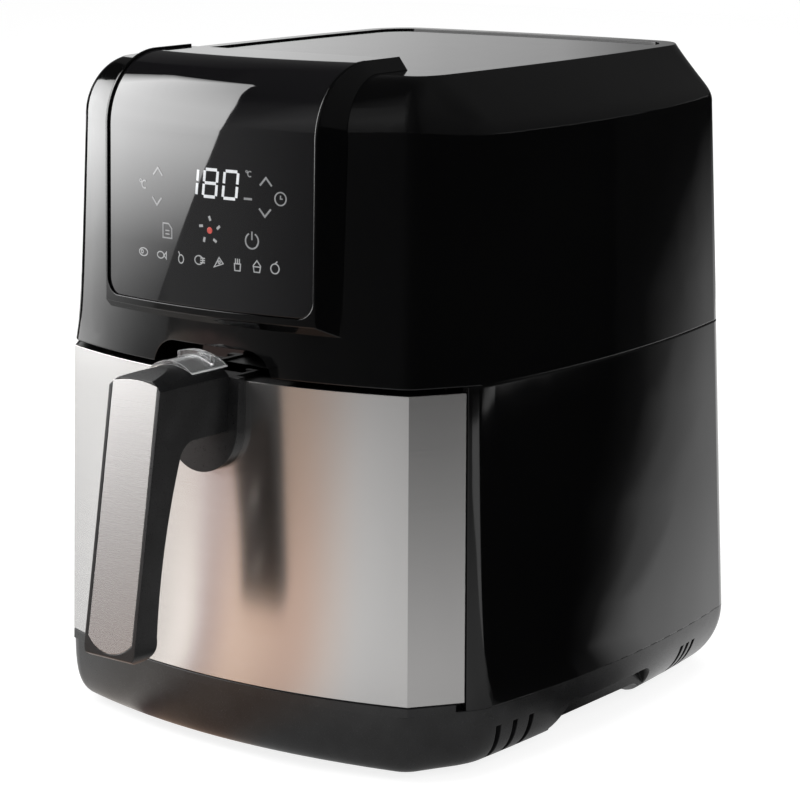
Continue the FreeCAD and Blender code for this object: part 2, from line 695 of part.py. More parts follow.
def upper_housing(filled):
    body = filled.cut(hollow_housing())
    mouth = rounded_rectangle(*CAVITY_MOUTH, SEAM - 1)
    body = body.cut(prism(mouth, V(0, 0, WALL + 2)))
    pocket = notch_form(NOTCH_HALF + WALL, NOTCH_TOP + WALL, NOTCH_CORNER + WALL, NOTCH_BACK + WALL)
    body = fuse([body, pocket.common(filled)])
    body = body.cut(notch_form(NOTCH_HALF, NOTCH_TOP, NOTCH_CORNER, NOTCH_BACK))
    posts = []
    for p in BOARD_SCREWS:
        post = cylinder(BOARD_POST, V(p.x, FRONT_APEX, p.z), BOARD_FRONT - FRONT_APEX, Y_AXIS)
        posts.append(post.common(filled))
    body = fuse([body] + posts)
    plate_seat = prism(rim_outline(TOP - PLATE_SINK, PLATE_RIM), V(0, 0, 10))
    plate_seat = plate_seat.cut(box((-100, 100), (-150, HOOD_REAR + 1.5), (200, 400)))
    cuts = [box(*PANEL_WINDOW), plate_seat, vent_form(0.15)]
    cuts.append(screw_holes([p - V(0, 0, 1) for p in HOUSING_SCREWS], Z_AXIS, 8))
    cuts.append(screw_holes(BOARD_SCREWS, -Y_AXIS, BOARD_SCREW_LENGTH + 0.3))
    return body.cut(Part.makeCompound(cuts))


def top_plate():
    plate = prism(rim_outline(TOP - PLATE_SINK, PLATE_RIM + 0.2), V(0, 0, PLATE_THICK))
    return plate.cut(box((-100, 100), (-150, HOOD_REAR + 1.7), (200, 400)))


def vent_form(grow):
    half, low, high = VENT_HALF + grow, VENT_SPAN[0] - grow, VENT_SPAN[1] + grow
    points = [V(-half, 100, low), V(half, 100, low), V(half, 100, high), V(-half, 100, high)]
    return prism(rounded_wire(points, [6] * 4), V(0, 40, 0))


def rear_vent():
    """Louvred outlet let into the back wall."""
    body = vent_form(0).common(box((-60, 60), (VENT_FACE - 6, VENT_FACE), (200, 300)))
    points = [V(-VENT_HALF + 5, 90, VENT_SPAN[0] + 5), V(VENT_HALF - 5, 90, VENT_SPAN[0] + 5),
              V(VENT_HALF - 5, 90, VENT_SPAN[1] - 5), V(-VENT_HALF + 5, 90, VENT_SPAN[1] - 5)]
    opening = prism(rounded_wire(points, [3] * 4), V(0, 50, 0))
    body = body.cut(opening)
    count = 8
    step = (VENT_SPAN[1] - VENT_SPAN[0] - 10) / count
    bars = []
    for i in range(1, count):
        z = VENT_SPAN[0] + 5 + i * step
        slat = [V(-VENT_HALF + 4, VENT_FACE - 5.5, z + 2.5), V(-VENT_HALF + 4, VENT_FACE - 5.5, z + 4),
                V(-VENT_HALF + 4, VENT_FACE - 0.5, z - 1), V(-VENT_HALF + 4, VENT_FACE - 0.5, z - 2.5)]
        bars.append(prism(rounded_wire(slat, [0] * 4), V(2 * VENT_HALF - 8, 0, 0)))
    post = box((-1.5, 1.5), (VENT_FACE - 5.5, VENT_FACE - 0.5), (VENT_SPAN[0] + 4, VENT_SPAN[1] - 4))
    return fuse([body, post] + bars)


def hood_band(offset, half, bottom=150.0, corner=0.0):
    """Form that follows the front and curls over onto the top, grown outwards by an offset."""
    high = HOOD_LEVEL + offset
    points = [V(0, front_at(190) - offset, 190), V(0, FRONT_APEX + 60, 190), V(0, HOOD_REAR, 250),
              V(0, HOOD_REAR, high), V(0, front_at(high) - offset, high)]
    band = turned_sector(rounded_wire(points, [0, 0, 0, 0, HOOD_ROUND + offset]), 18.0)
    points = [V(-half, 0, bottom), V(half, 0, bottom), V(half, 0, 400), V(-half, 0, 400)]
    window = prism(rounded_wire(points, [corner, corner, 0, 0]), V(0, -250, 0))
    return band.common(window)


def hood_side(x, offset, curl):
    """Side profile of the hood in a plane across X: front, curl and top, grown outwards by an offset."""
    def front(z):
        radius = FRONT_CENTRE - front_at(z) + offset
        return FRONT_CENTRE - math.sqrt(radius ** 2 - x ** 2)

    low, high = HOOD_BOTTOM - 4, HOOD_LEVEL + offset
    points = [V(x, front(low), low), V(x, front(low) + 40, low), V(x, HOOD_REAR, 260),
              V(x, HOOD_REAR, high), V(x, front(high), high)]
    return rounded_wire(points, [0, 0, 0, 0, curl])


def behind_hood(shape):
    """The shape, ended flat at the rear of the hood."""
    return shape.cut(box((-100, 100), (HOOD_REAR, 100), (100, 400)))


def control_hood(filled):
    core = hood_band(HOOD_PROUD, HOOD_HALF)
    sink = HOOD_PROUD + HOOD_FOOT
    curl = HOOD_ROUND + HOOD_PROUD + FLANK_CURL
    flank = loft([hood_side(HOOD_HALF, HOOD_PROUD - HOOD_STEP, curl),
                  hood_side(HOOD_HALF + HOOD_SLANT, -HOOD_FOOT, curl - sink)])
    body = fuse([core] + both_sides(flank))
    rise = (HOOD_LIP_BOTTOM - HOOD_BOTTOM) / HOOD_PROUD
    y = front_at(HOOD_BOTTOM)
    below = [V(0, y + 40, HOOD_BOTTOM - 40 * rise), V(0, y + 40, 120), V(0, y - 40, 120),
             V(0, y - 40, HOOD_BOTTOM + 40 * rise)]
    body = body.cut(turned_sector(rounded_wire(below, [0] * 4), 20.0))
    body = behind_hood(body).cut(box((-100, 100), (-200, 0), (100, 200)))
    seat = hood_band(30, LENS_HALF + LENS_GAP, LENS_BOTTOM - LENS_GAP, LENS_CORNER)
    seat = seat.cut(hood_band(LENS_PROUD - LENS_THICK, 90))
    return body.cut(filled).cut(seat).cut(box(*PANEL_WINDOW))


def touch_panel():
    outer = hood_band(LENS_PROUD, LENS_HALF, LENS_BOTTOM, LENS_CORNER)
    return behind_hood(outer.cut(hood_band(LENS_PROUD - LENS_THICK, 90)))


def display_board():
    board = box((-BOARD_HALF, BOARD_HALF), (BOARD_FRONT, BOARD_BACK), BOARD_Z)
    return board.cut(screw_holes(BOARD_SCREWS, -Y_AXIS, BOARD_THICK))


def display_module():
    return box((-DISPLAY_HALF, DISPLAY_HALF), (DISPLAY_FRONT, BOARD_FRONT), DISPLAY_Z)


def board_screws():
    return screws(BOARD_SCREWS, -Y_AXIS, 1.8, BOARD_SCREW_LENGTH)


def steel_front():
    return wrap_shell((STEEL_BOTTOM, STEEL_TOP), 0.0, STEEL_THICK).cut(socket_slot(0.2))


def socket_slot(gap, depth=(-200.0, -60.0)):
    """U-shaped slot in the drawer front for the handle's socket, open at the top."""
    half = FLANGE_HALF - 5 + gap
    points = [V(-half, depth[0], 200), V(-half, depth[0], FLANGE_CENTRE - half),
              V(half, depth[0], FLANGE_CENTRE - half), V(half, depth[0], 200)]
    return prism(rounded_wire(points, [0, half - 0.01, half - 0.01, 0]), V(0, depth[1] - depth[0], 0))


def drawer_frame():
    """Moulded carrier behind the steel front: a shell with flanges and pads for the pan's screws."""
    low, high = STEEL_BOTTOM + 0.3, STEEL_TOP - 0.3
    near, far = STEEL_THICK + 0.05, STEEL_THICK + FRAME_WALL
    shell = wrap_shell((low, high), near, far, FRAME_SHARE)
    flanges = [wrap_shell(z, near, FRAME_DEPTH, FRAME_SHARE / 2)
               for z in ((low, low + FRAME_WALL), (high - FRAME_WALL, high))]
    inside = turned_sector(rounded_wire([V(0, front_at(low) + far - 1, low), V(0, 0, low), V(0, 0, high),
                                         V(0, front_at(high) + far - 1, high)], [0] * 4), 30.0)
    pads = [cylinder(BOSS_RADIUS, p + V(0, -40, 0), 40, Y_AXIS).common(inside) for p in FRAME_SCREWS]
    body = fuse([shell] + flanges + pads)
    return body.cut(socket_slot(0.2)).cut(screw_holes(FRAME_SCREWS, -Y_AXIS, 9))


def frame_screws():
    return screws([p + V(0, SHEET, 0) for p in FRAME_SCREWS], -Y_AXIS, 2.0, 9)


def handle_socket():
    """Flange on the steel front with a pocket behind it that takes the handle's tongue."""
    points = [V(-FLANGE_HALF, -200, FLANGE_TOP), V(-FLANGE_HALF, -200, FLANGE_CENTRE - FLANGE_HALF),
              V(FLANGE_HALF, -200, FLANGE_CENTRE - FLANGE_HALF), V(FLANGE_HALF, -200, FLANGE_TOP)]
    corner = FLANGE_HALF - 0.01
    shield = prism(rounded_wire(points, [0, corner, corner, 0]), V(0, 100, 0))
    flange = shield.common(front_cone(FLANGE_THICK)).cut(front_cone((0.0, 0.0)))
    pocket = socket_slot(0.0, (-149, -131)).common(box((-30, 30), (-160, -100), (100, FLANGE_TOP)))
    body = fuse([flange, pocket])
    inner = socket_slot(-SOCKET_WALL, SOCKET_Y)
    above_tongue = box((-30, 30), (-170, -100), (TONGUE_LOW - 0.3, 200))
    mouth = socket_slot(-SOCKET_WALL, (-170, SOCKET_Y[1])).common(above_tongue)
    slit = box((-STRIP_HALF - 0.5, STRIP_HALF + 0.5), (-140, -120), (STRIP_Z - 0.5, 200))
    keeper = box((-FLANGE_HALF + 6, FLANGE_HALF - 6), KEEPER_Y, KEEPER_Z)
    return fuse([body.cut(inner).cut(mouth).cut(slit), keeper])


def arch_form(drop, top, half, y):
    """Arched cross-section of the arm's top, run along Y, filled far below."""
    points = [V(-half, y[0], top - drop), V(0, y[0], top), V(half, y[0], top - drop)]
    edges = [arc(*points), line(points[2], V(half, y[0], 0)), line(V(half, y[0], 0), V(-half, y[0], 0)),
             line(V(-half, y[0], 0), points[0])]
    return prism(Part.Wire(edges), V(0, y[1] - y[0], 0))


def handle_side():
    """Side profile of the handle: grip, elbow and arm."""
    top, mid, low = [V(0, y, z) for y, z in (HANDLE_FRONT_TOP, HANDLE_FRONT_MID, HANDLE_FRONT_LOW)]
    back_low = V(0, low.y + GRIP_THICK + 1.2, low.z + 8)
    back_mid = V(0, mid.y + GRIP_THICK, mid.z)
    elbow, bend = V(0, *ELBOW), V(0, *ELBOW_MID)
    under = V(0, ELBOW_END, ARM_UNDER)
    start, end = V(0, ARM_START, ARM_TOP), V(0, ARM_END, ARM_TOP)
    end_low = V(0, ARM_END, ARM_UNDER)
    edges = [arc(low, mid, top), line(top, start), line(start, end), line(end, end_low),
             line(end_low, under), arc(under, bend, elbow), arc(elbow, back_mid, back_low),
             arc(back_low, V(0, low.y + 9, HANDLE_BOTTOM), low)]
    return Part.Face(Part.Wire(edges))


def handle_grip():
    side = handle_side()
    side.translate(V(-HANDLE_HALF, 0, 0))
    body = side.extrude(V(2 * HANDLE_HALF, 0, 0))
    arch = arch_form(ARM_ARCH_DROP, ARM_TOP, HANDLE_HALF, (-240, -100))
    points = [V(-HANDLE_HALF, -240, HANDLE_BOTTOM - 1), V(HANDLE_HALF, -240, HANDLE_BOTTOM - 1),
              V(HANDLE_HALF, -240, 220), V(-HANDLE_HALF, -240, 220)]
    rounded = prism(rounded_wire(points, [7, 7, 0, 0]), V(0, 140, 0))
    body = body.common(arch).common(rounded)
    body = body.cut(front_cone(FLANGE_THICK, 0.1))
    tongue = box((-13, 13), (-156, -137), (TONGUE_LOW, FLANGE_TOP - 1))
    lever_slot = box((-4, 4), (BUTTON_Y - 9, -130), (140, LATCH_SLOT_TOP))
    half = STRIP_HALF + 0.2
    strip_slot = box((-half, half), (-174, -130), (STRIP_Z - 0.2, STRIP_Z + STRIP_THICK + 0.2))
    well = button_form(RUNNING_GAP * 3, BUTTON_WELL, 210.0)
    spring_seat = cylinder(SPRING_RADIUS + 1, V(0, BUTTON_Y, SPRING_SEAT), 12)
    stem_way = box((-2.9, 2.9), (BUTTON_Y + STEM_Y[0] - 0.4, BUTTON_Y + STEM_Y[1] + 0.4), (170, 178))
    bore = cylinder(LATCH_PIN_RADIUS, V(-20, LATCH_Y, LATCH_Z), 40, X_AXIS)
    body = fuse([body, tongue])
    seats = [insert_form(0.15), cover_form(0.1)]
    for piece in [lever_slot, strip_slot, well, spring_seat, stem_way, bore] + seats:
        body = body.cut(piece)
    return body.cut(screw_holes(handle_screw_places(), -Y_AXIS, 9))


def insert_form(grow):
    """Curved steel strip let into the front of the grip."""
    low, mid, high = [V(0, y, z) for y, z in (HANDLE_FRONT_LOW, HANDLE_FRONT_MID, HANDLE_FRONT_TOP)]
    push = V(0, INSERT_THICK, 0)
    face = Part.Face(Part.Wire([arc(low, mid, high), line(high, high + push),
                                arc(high + push, mid + push, low + push), line(low + push, low)]))
    half = INSERT_HALF + grow
    face.translate(V(-half, 0, 0))
    strip = face.extrude(V(2 * half, 0, 0))
    low_z, high_z = HANDLE_FRONT_LOW[1] + 1.5 - grow, HANDLE_FRONT_TOP[1] - 0.4 + grow
    drop = 1.6
    edges = [line(V(-half, -260, low_z + 6), V(-half, -260, high_z - drop)),
             arc(V(-half, -260, high_z - drop), V(0, -260, high_z), V(half, -260, high_z - drop)),
             line(V(half, -260, high_z - drop), V(half, -260, low_z + 6)),
             arc(V(half, -260, low_z + 6), V(0, -260, low_z), V(-half, -260, low_z + 6))]
    return strip.common(prism(Part.Wire(edges), V(0, 120, 0)))


def handle_insert():
    return insert_form(0.0)


def cover_form(grow):
    """Long rounded plate let into the back of the grip."""
    half, (low, high) = COVER_HALF + grow, COVER_Z
    points = [V(-half, -240, low - grow), V(half, -240, low - grow),
              V(half, -240, high + grow), V(-half, -240, high + grow)]
    shape = prism(rounded_wire(points, [half - 0.5] * 4), V(0, 60, 0))
    side = handle_side()
    side.translate(V(-20, 0, 0))
    grip = side.extrude(V(40, 0, 0))
    inner = grip.copy()
    inner.translate(V(0, -COVER_THICK - grow, 0))
    front_half = box((-30, 30), (-240, HANDLE_FRONT_LOW[0] + 5), (0, 200))
    return shape.common(grip).cut(inner).cut(front_half)


def handle_screw_places():
    """Middle of each screw's seat on the back of the grip."""
    side = handle_side()
    places = []
    for z in HANDLE_SCREW_HEIGHTS:
        cross = side.common(line(V(0, -240, z), V(0, -150, z)))
        places.append(V(0, cross.BoundBox.YMax, z))
    return places


def handle_cover():
    return cover_form(0.0).cut(handle_screws())


def handle_screws():
    return screws(handle_screw_places(), -Y_AXIS, 1.2, 9)


def button_form(grow, low, high):
    half_x, half_y = BUTTON_HALF_X + grow, BUTTON_HALF_Y + grow
    wire = rounded_rectangle(half_x, half_y, 2.5 + grow, low, BUTTON_Y)
    return prism(wire, V(0, 0, high - low))


def release_button():
    cap = button_form(0.0, BUTTON_LOW, 200.0)
    cap = cap.common(arch_form(ARM_ARCH_DROP, ARM_TOP - 0.3, HANDLE_HALF, (-200, -120)))
    stem = box((-2.5, 2.5), (BUTTON_Y + STEM_Y[0], BUTTON_Y + STEM_Y[1]), (LATCH_Z + 2.35, BUTTON_LOW + 1))
    return fuse([cap, stem])


def coil(radius, wire, z, turns, runs=10):
    """Compression spring: short straight runs climbing steadily, swept by a six-sided section."""
    count = turns * runs

    def at(i):
        angle = 2 * math.pi * i / runs
        return V(radius * math.cos(angle), radius * math.sin(angle), z[0] + (z[1] - z[0]) * i / count)

    path = Part.makePolygon([at(i) for i in range(count + 1)])
    along = (at(1) - at(0)).normalize()
    side = along.cross(Z_AXIS).normalize()
    up = side.cross(along)
    corners = [at(0) + side * (wire * math.cos(k * math.pi / 3)) + up * (wire * math.sin(k * math.pi / 3))
               for k in range(6)]
    print("spring: least gap between turns %.2f mm" % ((z[1] - z[0]) / turns - 2 * wire))
    return path.makePipeShell([rounded_wire(corners, [0] * 6)], True, False, 1)


def button_spring():
    spring = coil(SPRING_RADIUS, SPRING_WIRE, (SPRING_SEAT + SPRING_WIRE, BUTTON_LOW - SPRING_WIRE), 4)
    spring.translate(V(0, BUTTON_Y, 0))
    return spring


def button_guard():
    """Clear saddle that covers the button, with a raised edge for the thumb."""
    low = ARM_TOP + GUARD_GAP
    outer = arch_form(ARM_ARCH_DROP, low + GUARD_THICK, GUARD_HALF, GUARD_Y)
    inner = arch_form(ARM_ARCH_DROP, low, HANDLE_HALF + 3, (GUARD_Y[0] - 1, GUARD_Y[1] + 1))
    saddle = outer.cut(inner)
    tab = arch_form(1.6, TAB_TOP, TAB_HALF, TAB_Y).cut(inner)
    return fuse([saddle, tab])


def latch_lever():
    """Bell crank: a flat arm under the button's stem and a toe that hooks under the keeper bar."""
    x, y, z, toe = -LATCH_HALF, LATCH_Y, LATCH_Z, LATCH_TOE
    front = BUTTON_Y - 7
    points = [V(x, front, z + 0.5), V(x, front, z + 2.2), V(x, y + 2.5, z + 3), V(x, y + 3, z - 3),
              V(x, y + 2, toe), V(x, KEEPER_Y[0] + 0.2, toe), V(x, KEEPER_Y[0] + 0.2, toe + 2),
              V(x, y - 2.5, toe + 2), V(x, y - 2.5, z - 2.5)]
    plate = prism(rounded_wire(points, [0, 0, 2, 2, 0, 0, 0, 1, 2]), V(2 * LATCH_HALF, 0, 0))
    return plate.cut(cylinder(LATCH_PIN_RADIUS + RUNNING_GAP, V(-10, y, z), 20, X_AXIS))


def latch_pin():
    return cylinder(LATCH_PIN_RADIUS, V(-13, LATCH_Y, LATCH_Z), 26, X_AXIS)


def strip_rear():
    """Y of the strip's upright leg, just in front of the basket."""
    return AXIS_Y - BASKET_TOP[1] - STRIP_THICK - 0.4


def rivet_holes():
    holes = [cylinder(RIVET_SHANK, V(x, strip_rear(), z), 8, Y_AXIS) for x, z in RIVET_PLACES]
    return Part.makeCompound(holes)


def basket_strip():
    """Bent steel strip that carries the basket from the handle."""
    front, rear = STRIP_FRONT, strip_rear()
    under, over, low = STRIP_Z, STRIP_Z + STRIP_THICK, STRIP_LOW
    behind = rear + STRIP_THICK
    profile = [(front, under), (rear, under), (rear, low), (behind, low), (behind, over), (front, over)]
    points = [V(-STRIP_HALF, y, z) for y, z in profile]
    strip = prism(rounded_wire(points, [0, 1, 0, 0, 3, 0]), V(2 * STRIP_HALF, 0, 0))
    strip = strip.cut(box((-4.5, 4.5), (LATCH_Y - 8, LATCH_Y + 8), (under - 5, over + 3)))
    return strip.cut(rivet_holes())


def basket_rivets():
    rear = strip_rear()
    rivets = []
    for x, z in RIVET_PLACES:
        head = cylinder(RIVET_HEAD, V(x, rear - 1.4, z), 1.4, Y_AXIS)
        rivets.append(fuse([head, cylinder(RIVET_SHANK, V(x, rear, z), 6, Y_AXIS)]))
    return Part.makeCompound(rivets)


def tapered_pan(low, high, z, thick):
    """Drawn sheet vessel with rounded corners and a rounded floor edge."""
    outer = loft([rounded_rectangle(*low, z[0]), rounded_rectangle(*high, z[1])])
    outer = outer.makeFillet(8.0, edges_at(outer, z[0]))
    low_in = [v - thick for v in low]
    high_in = [v - thick for v in high]
    inner = loft([rounded_rectangle(*low_in, z[0] + thick), rounded_rectangle(*high_in, z[1])])
    inner = inner.makeFillet(7.0, edges_at(inner, z[0] + thick))
    return outer, inner


def pan():
    outer, inner = tapered_pan(PAN_LOW, PAN_TOP, PAN_Z, PAN_SHEET)
    half_x, half_y, radius = PAN_TOP
    lip = rounded_rectangle(half_x + PAN_LIP, half_y + PAN_LIP, radius + PAN_LIP, PAN_Z[1])
    bore = rounded_rectangle(half_x - PAN_SHEET, half_y - PAN_SHEET, radius - PAN_SHEET, PAN_Z[1])
    rim = prism(lip, V(0, 0, PAN_RIM)).cut(prism(bore, V(0, 0, PAN_RIM)))
    body = fuse([outer.cut(inner), rim])
    tabs = []
    for p in FRAME_SCREWS:
        x = (p.x - 8, p.x + 8)
        tabs.append(box(x, (FRAME_BACK, FRAME_BACK + SHEET), (p.z - 7, p.z + 7)))
        tabs.append(box(x, (FRAME_BACK, AXIS_Y - 40), (p.z + 6, p.z + 7)).cut(outer))
    body = fuse([body] + tabs)
    return body.cut(screw_holes([p + V(0, 5, 0) for p in FRAME_SCREWS], -Y_AXIS, 12))


def basket():
    outer, inner = tapered_pan(BASKET_LOW, BASKET_TOP, BASKET_Z, SHEET)
    half_x, half_y, radius = BASKET_TOP
    z = BASKET_Z[1]
    lip = rounded_rectangle(half_x + BASKET_LIP, half_y + BASKET_LIP, radius + BASKET_LIP, z)
    bore = rounded_rectangle(half_x - SHEET, half_y - SHEET, radius - SHEET, z)
    rim = prism(lip, V(0, 0, BASKET_RIM)).cut(prism(bore, V(0, 0, BASKET_RIM)))
    floor_z = BASKET_Z[0]
    foot_z = PAN_Z[0] + PAN_SHEET
    places = [(x, AXIS_Y + y) for x in (-66, 66) for y in (-68, 68)]
    legs = [cylinder(BASKET_LEG, V(x, y, foot_z), floor_z - foot_z + SHEET / 2) for x, y in places]
    body = fuse([outer.cut(inner), rim] + legs)
    body = body.cut(prism(rounded_rectangle(*BASKET_OPENING, floor_z - 1), V(0, 0, 3)))
    rear = strip_rear()
    notch = box((-STRIP_HALF - 0.4, STRIP_HALF + 0.4), (rear - 4, rear + STRIP_THICK + 0.1), (z - 1, z + 5))
    return body.cut(notch).cut(rivet_holes())


def crisper_plate():
    """Perforated floor of the basket, resting on its inner flange."""
    z = BASKET_Z[0] + SHEET
    half_x, half_y, radius = [v - 9 for v in BASKET_LOW]
    plate = prism(rounded_rectangle(half_x, half_y, radius, z), V(0, 0, 1.6))
    holes = []
    columns = int(half_x // PLATE_PITCH)
    for i in range(-columns, columns + 1):
        for j in range(-columns, columns + 1):
            holes.append(cylinder(PLATE_HOLE, V(i * PLATE_PITCH, AXIS_Y + j * PLATE_PITCH, z - 1), 4))
    return plate.cut(Part.makeCompound(holes))


def cavity_liner():
    """Steel box round the drawer, open to the front and top."""
    def shell(inset, z, height):
        half = LINER_HALF - inset
        points = [V(-half, LINER_FRONT, z), V(half, LINER_FRONT, z),
                  V(half, LINER_BACK - inset, z), V(-half, LINER_BACK - inset, z)]
        corner = LINER_CORNER - inset
        return prism(rounded_wire(points, [0, 0, corner, corner]), V(0, 0, height))

    body = shell(0, LINER_FLOOR, SEAM - LINER_FLOOR)
    half, floor_z = LINER_HALF - SHEET, LINER_FLOOR + SHEET
    hollow = fuse([shell(SHEET, floor_z, SEAM), box((-half, half), (-150, 0), (floor_z, 300))])
    return body.cut(hollow)


def drawer_rails():
    x = LINER_HALF - SHEET
    rail = box((x - RAIL_WIDTH, x), RAIL_Y, (RAIL_LOW, PAN_Z[1] - 0.5))
    return Part.makeCompound(both_sides(rail))


def heat_shield():
    """Flanged dish over the cavity that holds the fan and the heater."""
    def dish(thick, z):
        rings = []
        for (half, radius), level in zip((SHIELD_MOUTH, SHIELD_CROWN), z):
            rings.append(rounded_rectangle(half - thick, half - thick, radius - thick, level))
        return loft(rings)

    low = SHIELD_FLANGE
    half, radius = SHIELD_RIM
    flange = prism(rounded_rectangle(half, half, radius, low), V(0, 0, SHEET))
    body = fuse([flange, dish(0.0, (low, SHIELD_TOP))]).cut(dish(SHEET, (low - 1, SHIELD_TOP - SHEET)))
    ways = [(V(0, AXIS_Y, 0), SHIELD_BORE), (V(*PROBE, 0), PROBE_RADIUS + RUNNING_GAP)]
    ways += [(p, ELEMENT_TUBE + 0.3) for p in element_ends()]
    holes = [cylinder(bore, V(p.x, p.y, SHIELD_TOP - 5), 10) for p, bore in ways]
    return body.cut(Part.makeCompound(holes))


def polygon(radius, sides, centre):
    """Corners of a level regular polygon."""
    turns = [2 * math.pi * i / sides for i in range(sides)]
    return [centre + V(radius * math.cos(turn), radius * math.sin(turn), 0) for turn in turns]


def element_point(radius, degrees):
    angle = math.radians(degrees)
    return V(radius * math.cos(angle), AXIS_Y + radius * math.sin(angle), ELEMENT_Z)


def element_heading():
    """Direction in which both ends leave the heater's loops."""
    angle = math.radians(ELEMENT_START)
    return V(math.sin(angle), -math.cos(angle), 0)


def element_ends():
    """Plan of the two upright legs of the heater, inner one first."""
    return [element_point(r, ELEMENT_START) + element_heading() * ELEMENT_BEND for r in ELEMENT_RADII]


def heating_element():
    """Tubular heater: two loops joined by a hairpin, with both ends turned up through the shield."""
    near, far = ELEMENT_RADII
    middle = (ELEMENT_START + ELEMENT_END) / 2
    tip_angle = math.radians(ELEMENT_END)
    tip = element_point((near + far) / 2, ELEMENT_END)
    tip = tip + V(-math.sin(tip_angle), math.cos(tip_angle), 0) * ((far - near) / 2)
    turns = (ELEMENT_START, middle, ELEMENT_END)
    inner_loop = [element_point(near, turn) for turn in turns]
    outer_loop = [element_point(far, turn) for turn in turns]
    loops = [arc(*inner_loop), arc(inner_loop[2], tip, outer_loop[2]), arc(*reversed(outer_loop))]
    high = SHIELD_TOP + 12

    def leg(radius):
        start, heading = element_point(radius, ELEMENT_START), element_heading()
        half = math.sqrt(0.5) * ELEMENT_BEND
        between = start + heading * half + Z_AXIS * (ELEMENT_BEND - half)
        top = start + (heading + Z_AXIS) * ELEMENT_BEND
        return [arc(start, between, top), line(top, V(top.x, top.y, high))]

    inner, outer = leg(near), leg(far)
    path = Part.Wire(Part.__sortEdges__(inner + loops + outer))
    corners = polygon(ELEMENT_TUBE, ELEMENT_SIDES, inner[1].valueAt(inner[1].LastParameter))
    print("heater: least gap between turns %.2f mm" % (far - near - 2 * ELEMENT_TUBE))
    return path.makePipeShell([rounded_wire(corners, [0] * ELEMENT_SIDES)], True, False)


def element_clips():
    """Strips hung from the shield that carry the heater's loops."""
    clips = []
    high = ELEMENT_Z - ELEMENT_TUBE
    for turn in (90, 180, 270):
        bar = box((ELEMENT_RADII[0] - 5, CLIP_POST[1]), (-4, 4), (high - 2, high))
        clip = fuse([bar, box(CLIP_POST, (-4, 4), (high - 2, SHIELD_TOP - SHEET))])
        clip.rotate(V(0, 0, 0), Z_AXIS, turn)
        clip.translate(V(0, AXIS_Y, 0))
        clips.append(clip)
    return Part.makeCompound(clips)


def temperature_probe():
    x, y = PROBE
    stem = cylinder(PROBE_RADIUS, V(x, y, PROBE_TIP), SHIELD_TOP + 8 - PROBE_TIP)
    return fuse([stem, cylinder(PROBE_COLLAR, V(x, y, SHIELD_TOP), 3)])


def thermal_cutout():
    x, y = CUTOUT
    can = cylinder(CUTOUT_RADIUS, V(x, y, SHIELD_TOP), 6)
    reach = CUTOUT_RADIUS + 5
    tabs = box((x - reach, x + reach), (y - 2, y + 2), (SHIELD_TOP, SHIELD_TOP + 1))
    return fuse([can, tabs])


def motor_plate():
    """Plate on four legs that carries the motor above the shield."""
    z = MOTOR_PLATE_Z
    plate = prism(rounded_rectangle(*MOTOR_PLATE, z), V(0, 0, 2))
    legs = [cylinder(MOTOR_LEG, V(x, y, SHIELD_TOP), z - SHIELD_TOP) for x, y in MOTOR_POSTS]
    places = [(p.x, p.y + step) for p in MOTOR_SCREWS for step in (0, SPACER_STEP)]
    spacers = [cylinder(MOTOR_LEG, V(x, y, z), STACK_Z[0] - z) for x, y in places]
    body = fuse([plate] + legs + spacers)
    return body.cut(cylinder(BUSH_RADIUS, V(0, AXIS_Y, z - 1), 10))


def lower_bush():
    return bush(MOTOR_PLATE_Z - 2.0, MOTOR_PLATE_Z + 6.0)


def upper_bush():
    return bush(STACK_Z[1] + 1.0, STACK_Z[1] + 9.0)


def bush(low, high):
    return tube(BUSH_RADIUS, SHAFT_RADIUS + RUNNING_GAP, V(0, AXIS_Y, low), high - low)


def motor_strap():
    """Bridge over the stack that holds the upper bush."""
    z = STACK_Z[1]
    bar = box((-30, 30), (AXIS_Y - 26, AXIS_Y + 10), (z, z + 3))
    bar = bar.cut(cylinder(BUSH_RADIUS, V(0, AXIS_Y, z - 1), 10))
    return bar.cut(screw_holes([p - V(0, 0, 5) for p in MOTOR_SCREWS], Z_AXIS, 12))


def motor_stator():
    """Shaded-pole stack: the rotor's bore at the front, the coil's leg at the back."""
    block = box((-32, 32), (AXIS_Y - 27, AXIS_Y + 44), STACK_Z)
    window = box((-22, 22), (AXIS_Y + 18, AXIS_Y + 33), STACK_Z)
    body = block.cut(window).cut(cylinder(ROTOR_RADIUS + ROTOR_GAP, V(0, AXIS_Y, STACK_Z[0]), 30))
    return body.cut(screw_holes([p - V(0, 0, 40) for p in MOTOR_SCREWS], Z_AXIS, 40))


def motor_coil():
    leg = box((-22, 22), (AXIS_Y + 32.9, AXIS_Y + 44.1), (STACK_Z[0] - 0.1, STACK_Z[1] + 0.1))
    winding = box((-19, 19), (AXIS_Y + 24, AXIS_Y + 53), (STACK_Z[0] - 8, STACK_Z[1] + 8))
    along_x = [e for e in winding.Edges if e.tangentAt(0).cross(X_AXIS).Length < 1e-6]
    return winding.makeFillet(5, along_x).cut(leg)


def motor_screws():
    return screws(MOTOR_SCREWS, -Z_AXIS, 2.0, STACK_Z[1] + 3 - STACK_Z[0])


def motor_shaft():
    return cylinder(SHAFT_RADIUS, V(0, AXIS_Y, SHAFT_Z[0]), SHAFT_Z[1] - SHAFT_Z[0])


def motor_rotor():
    return tube(ROTOR_RADIUS, SHAFT_RADIUS, V(0, AXIS_Y, STACK_Z[0]), STACK_Z[1] - STACK_Z[0])


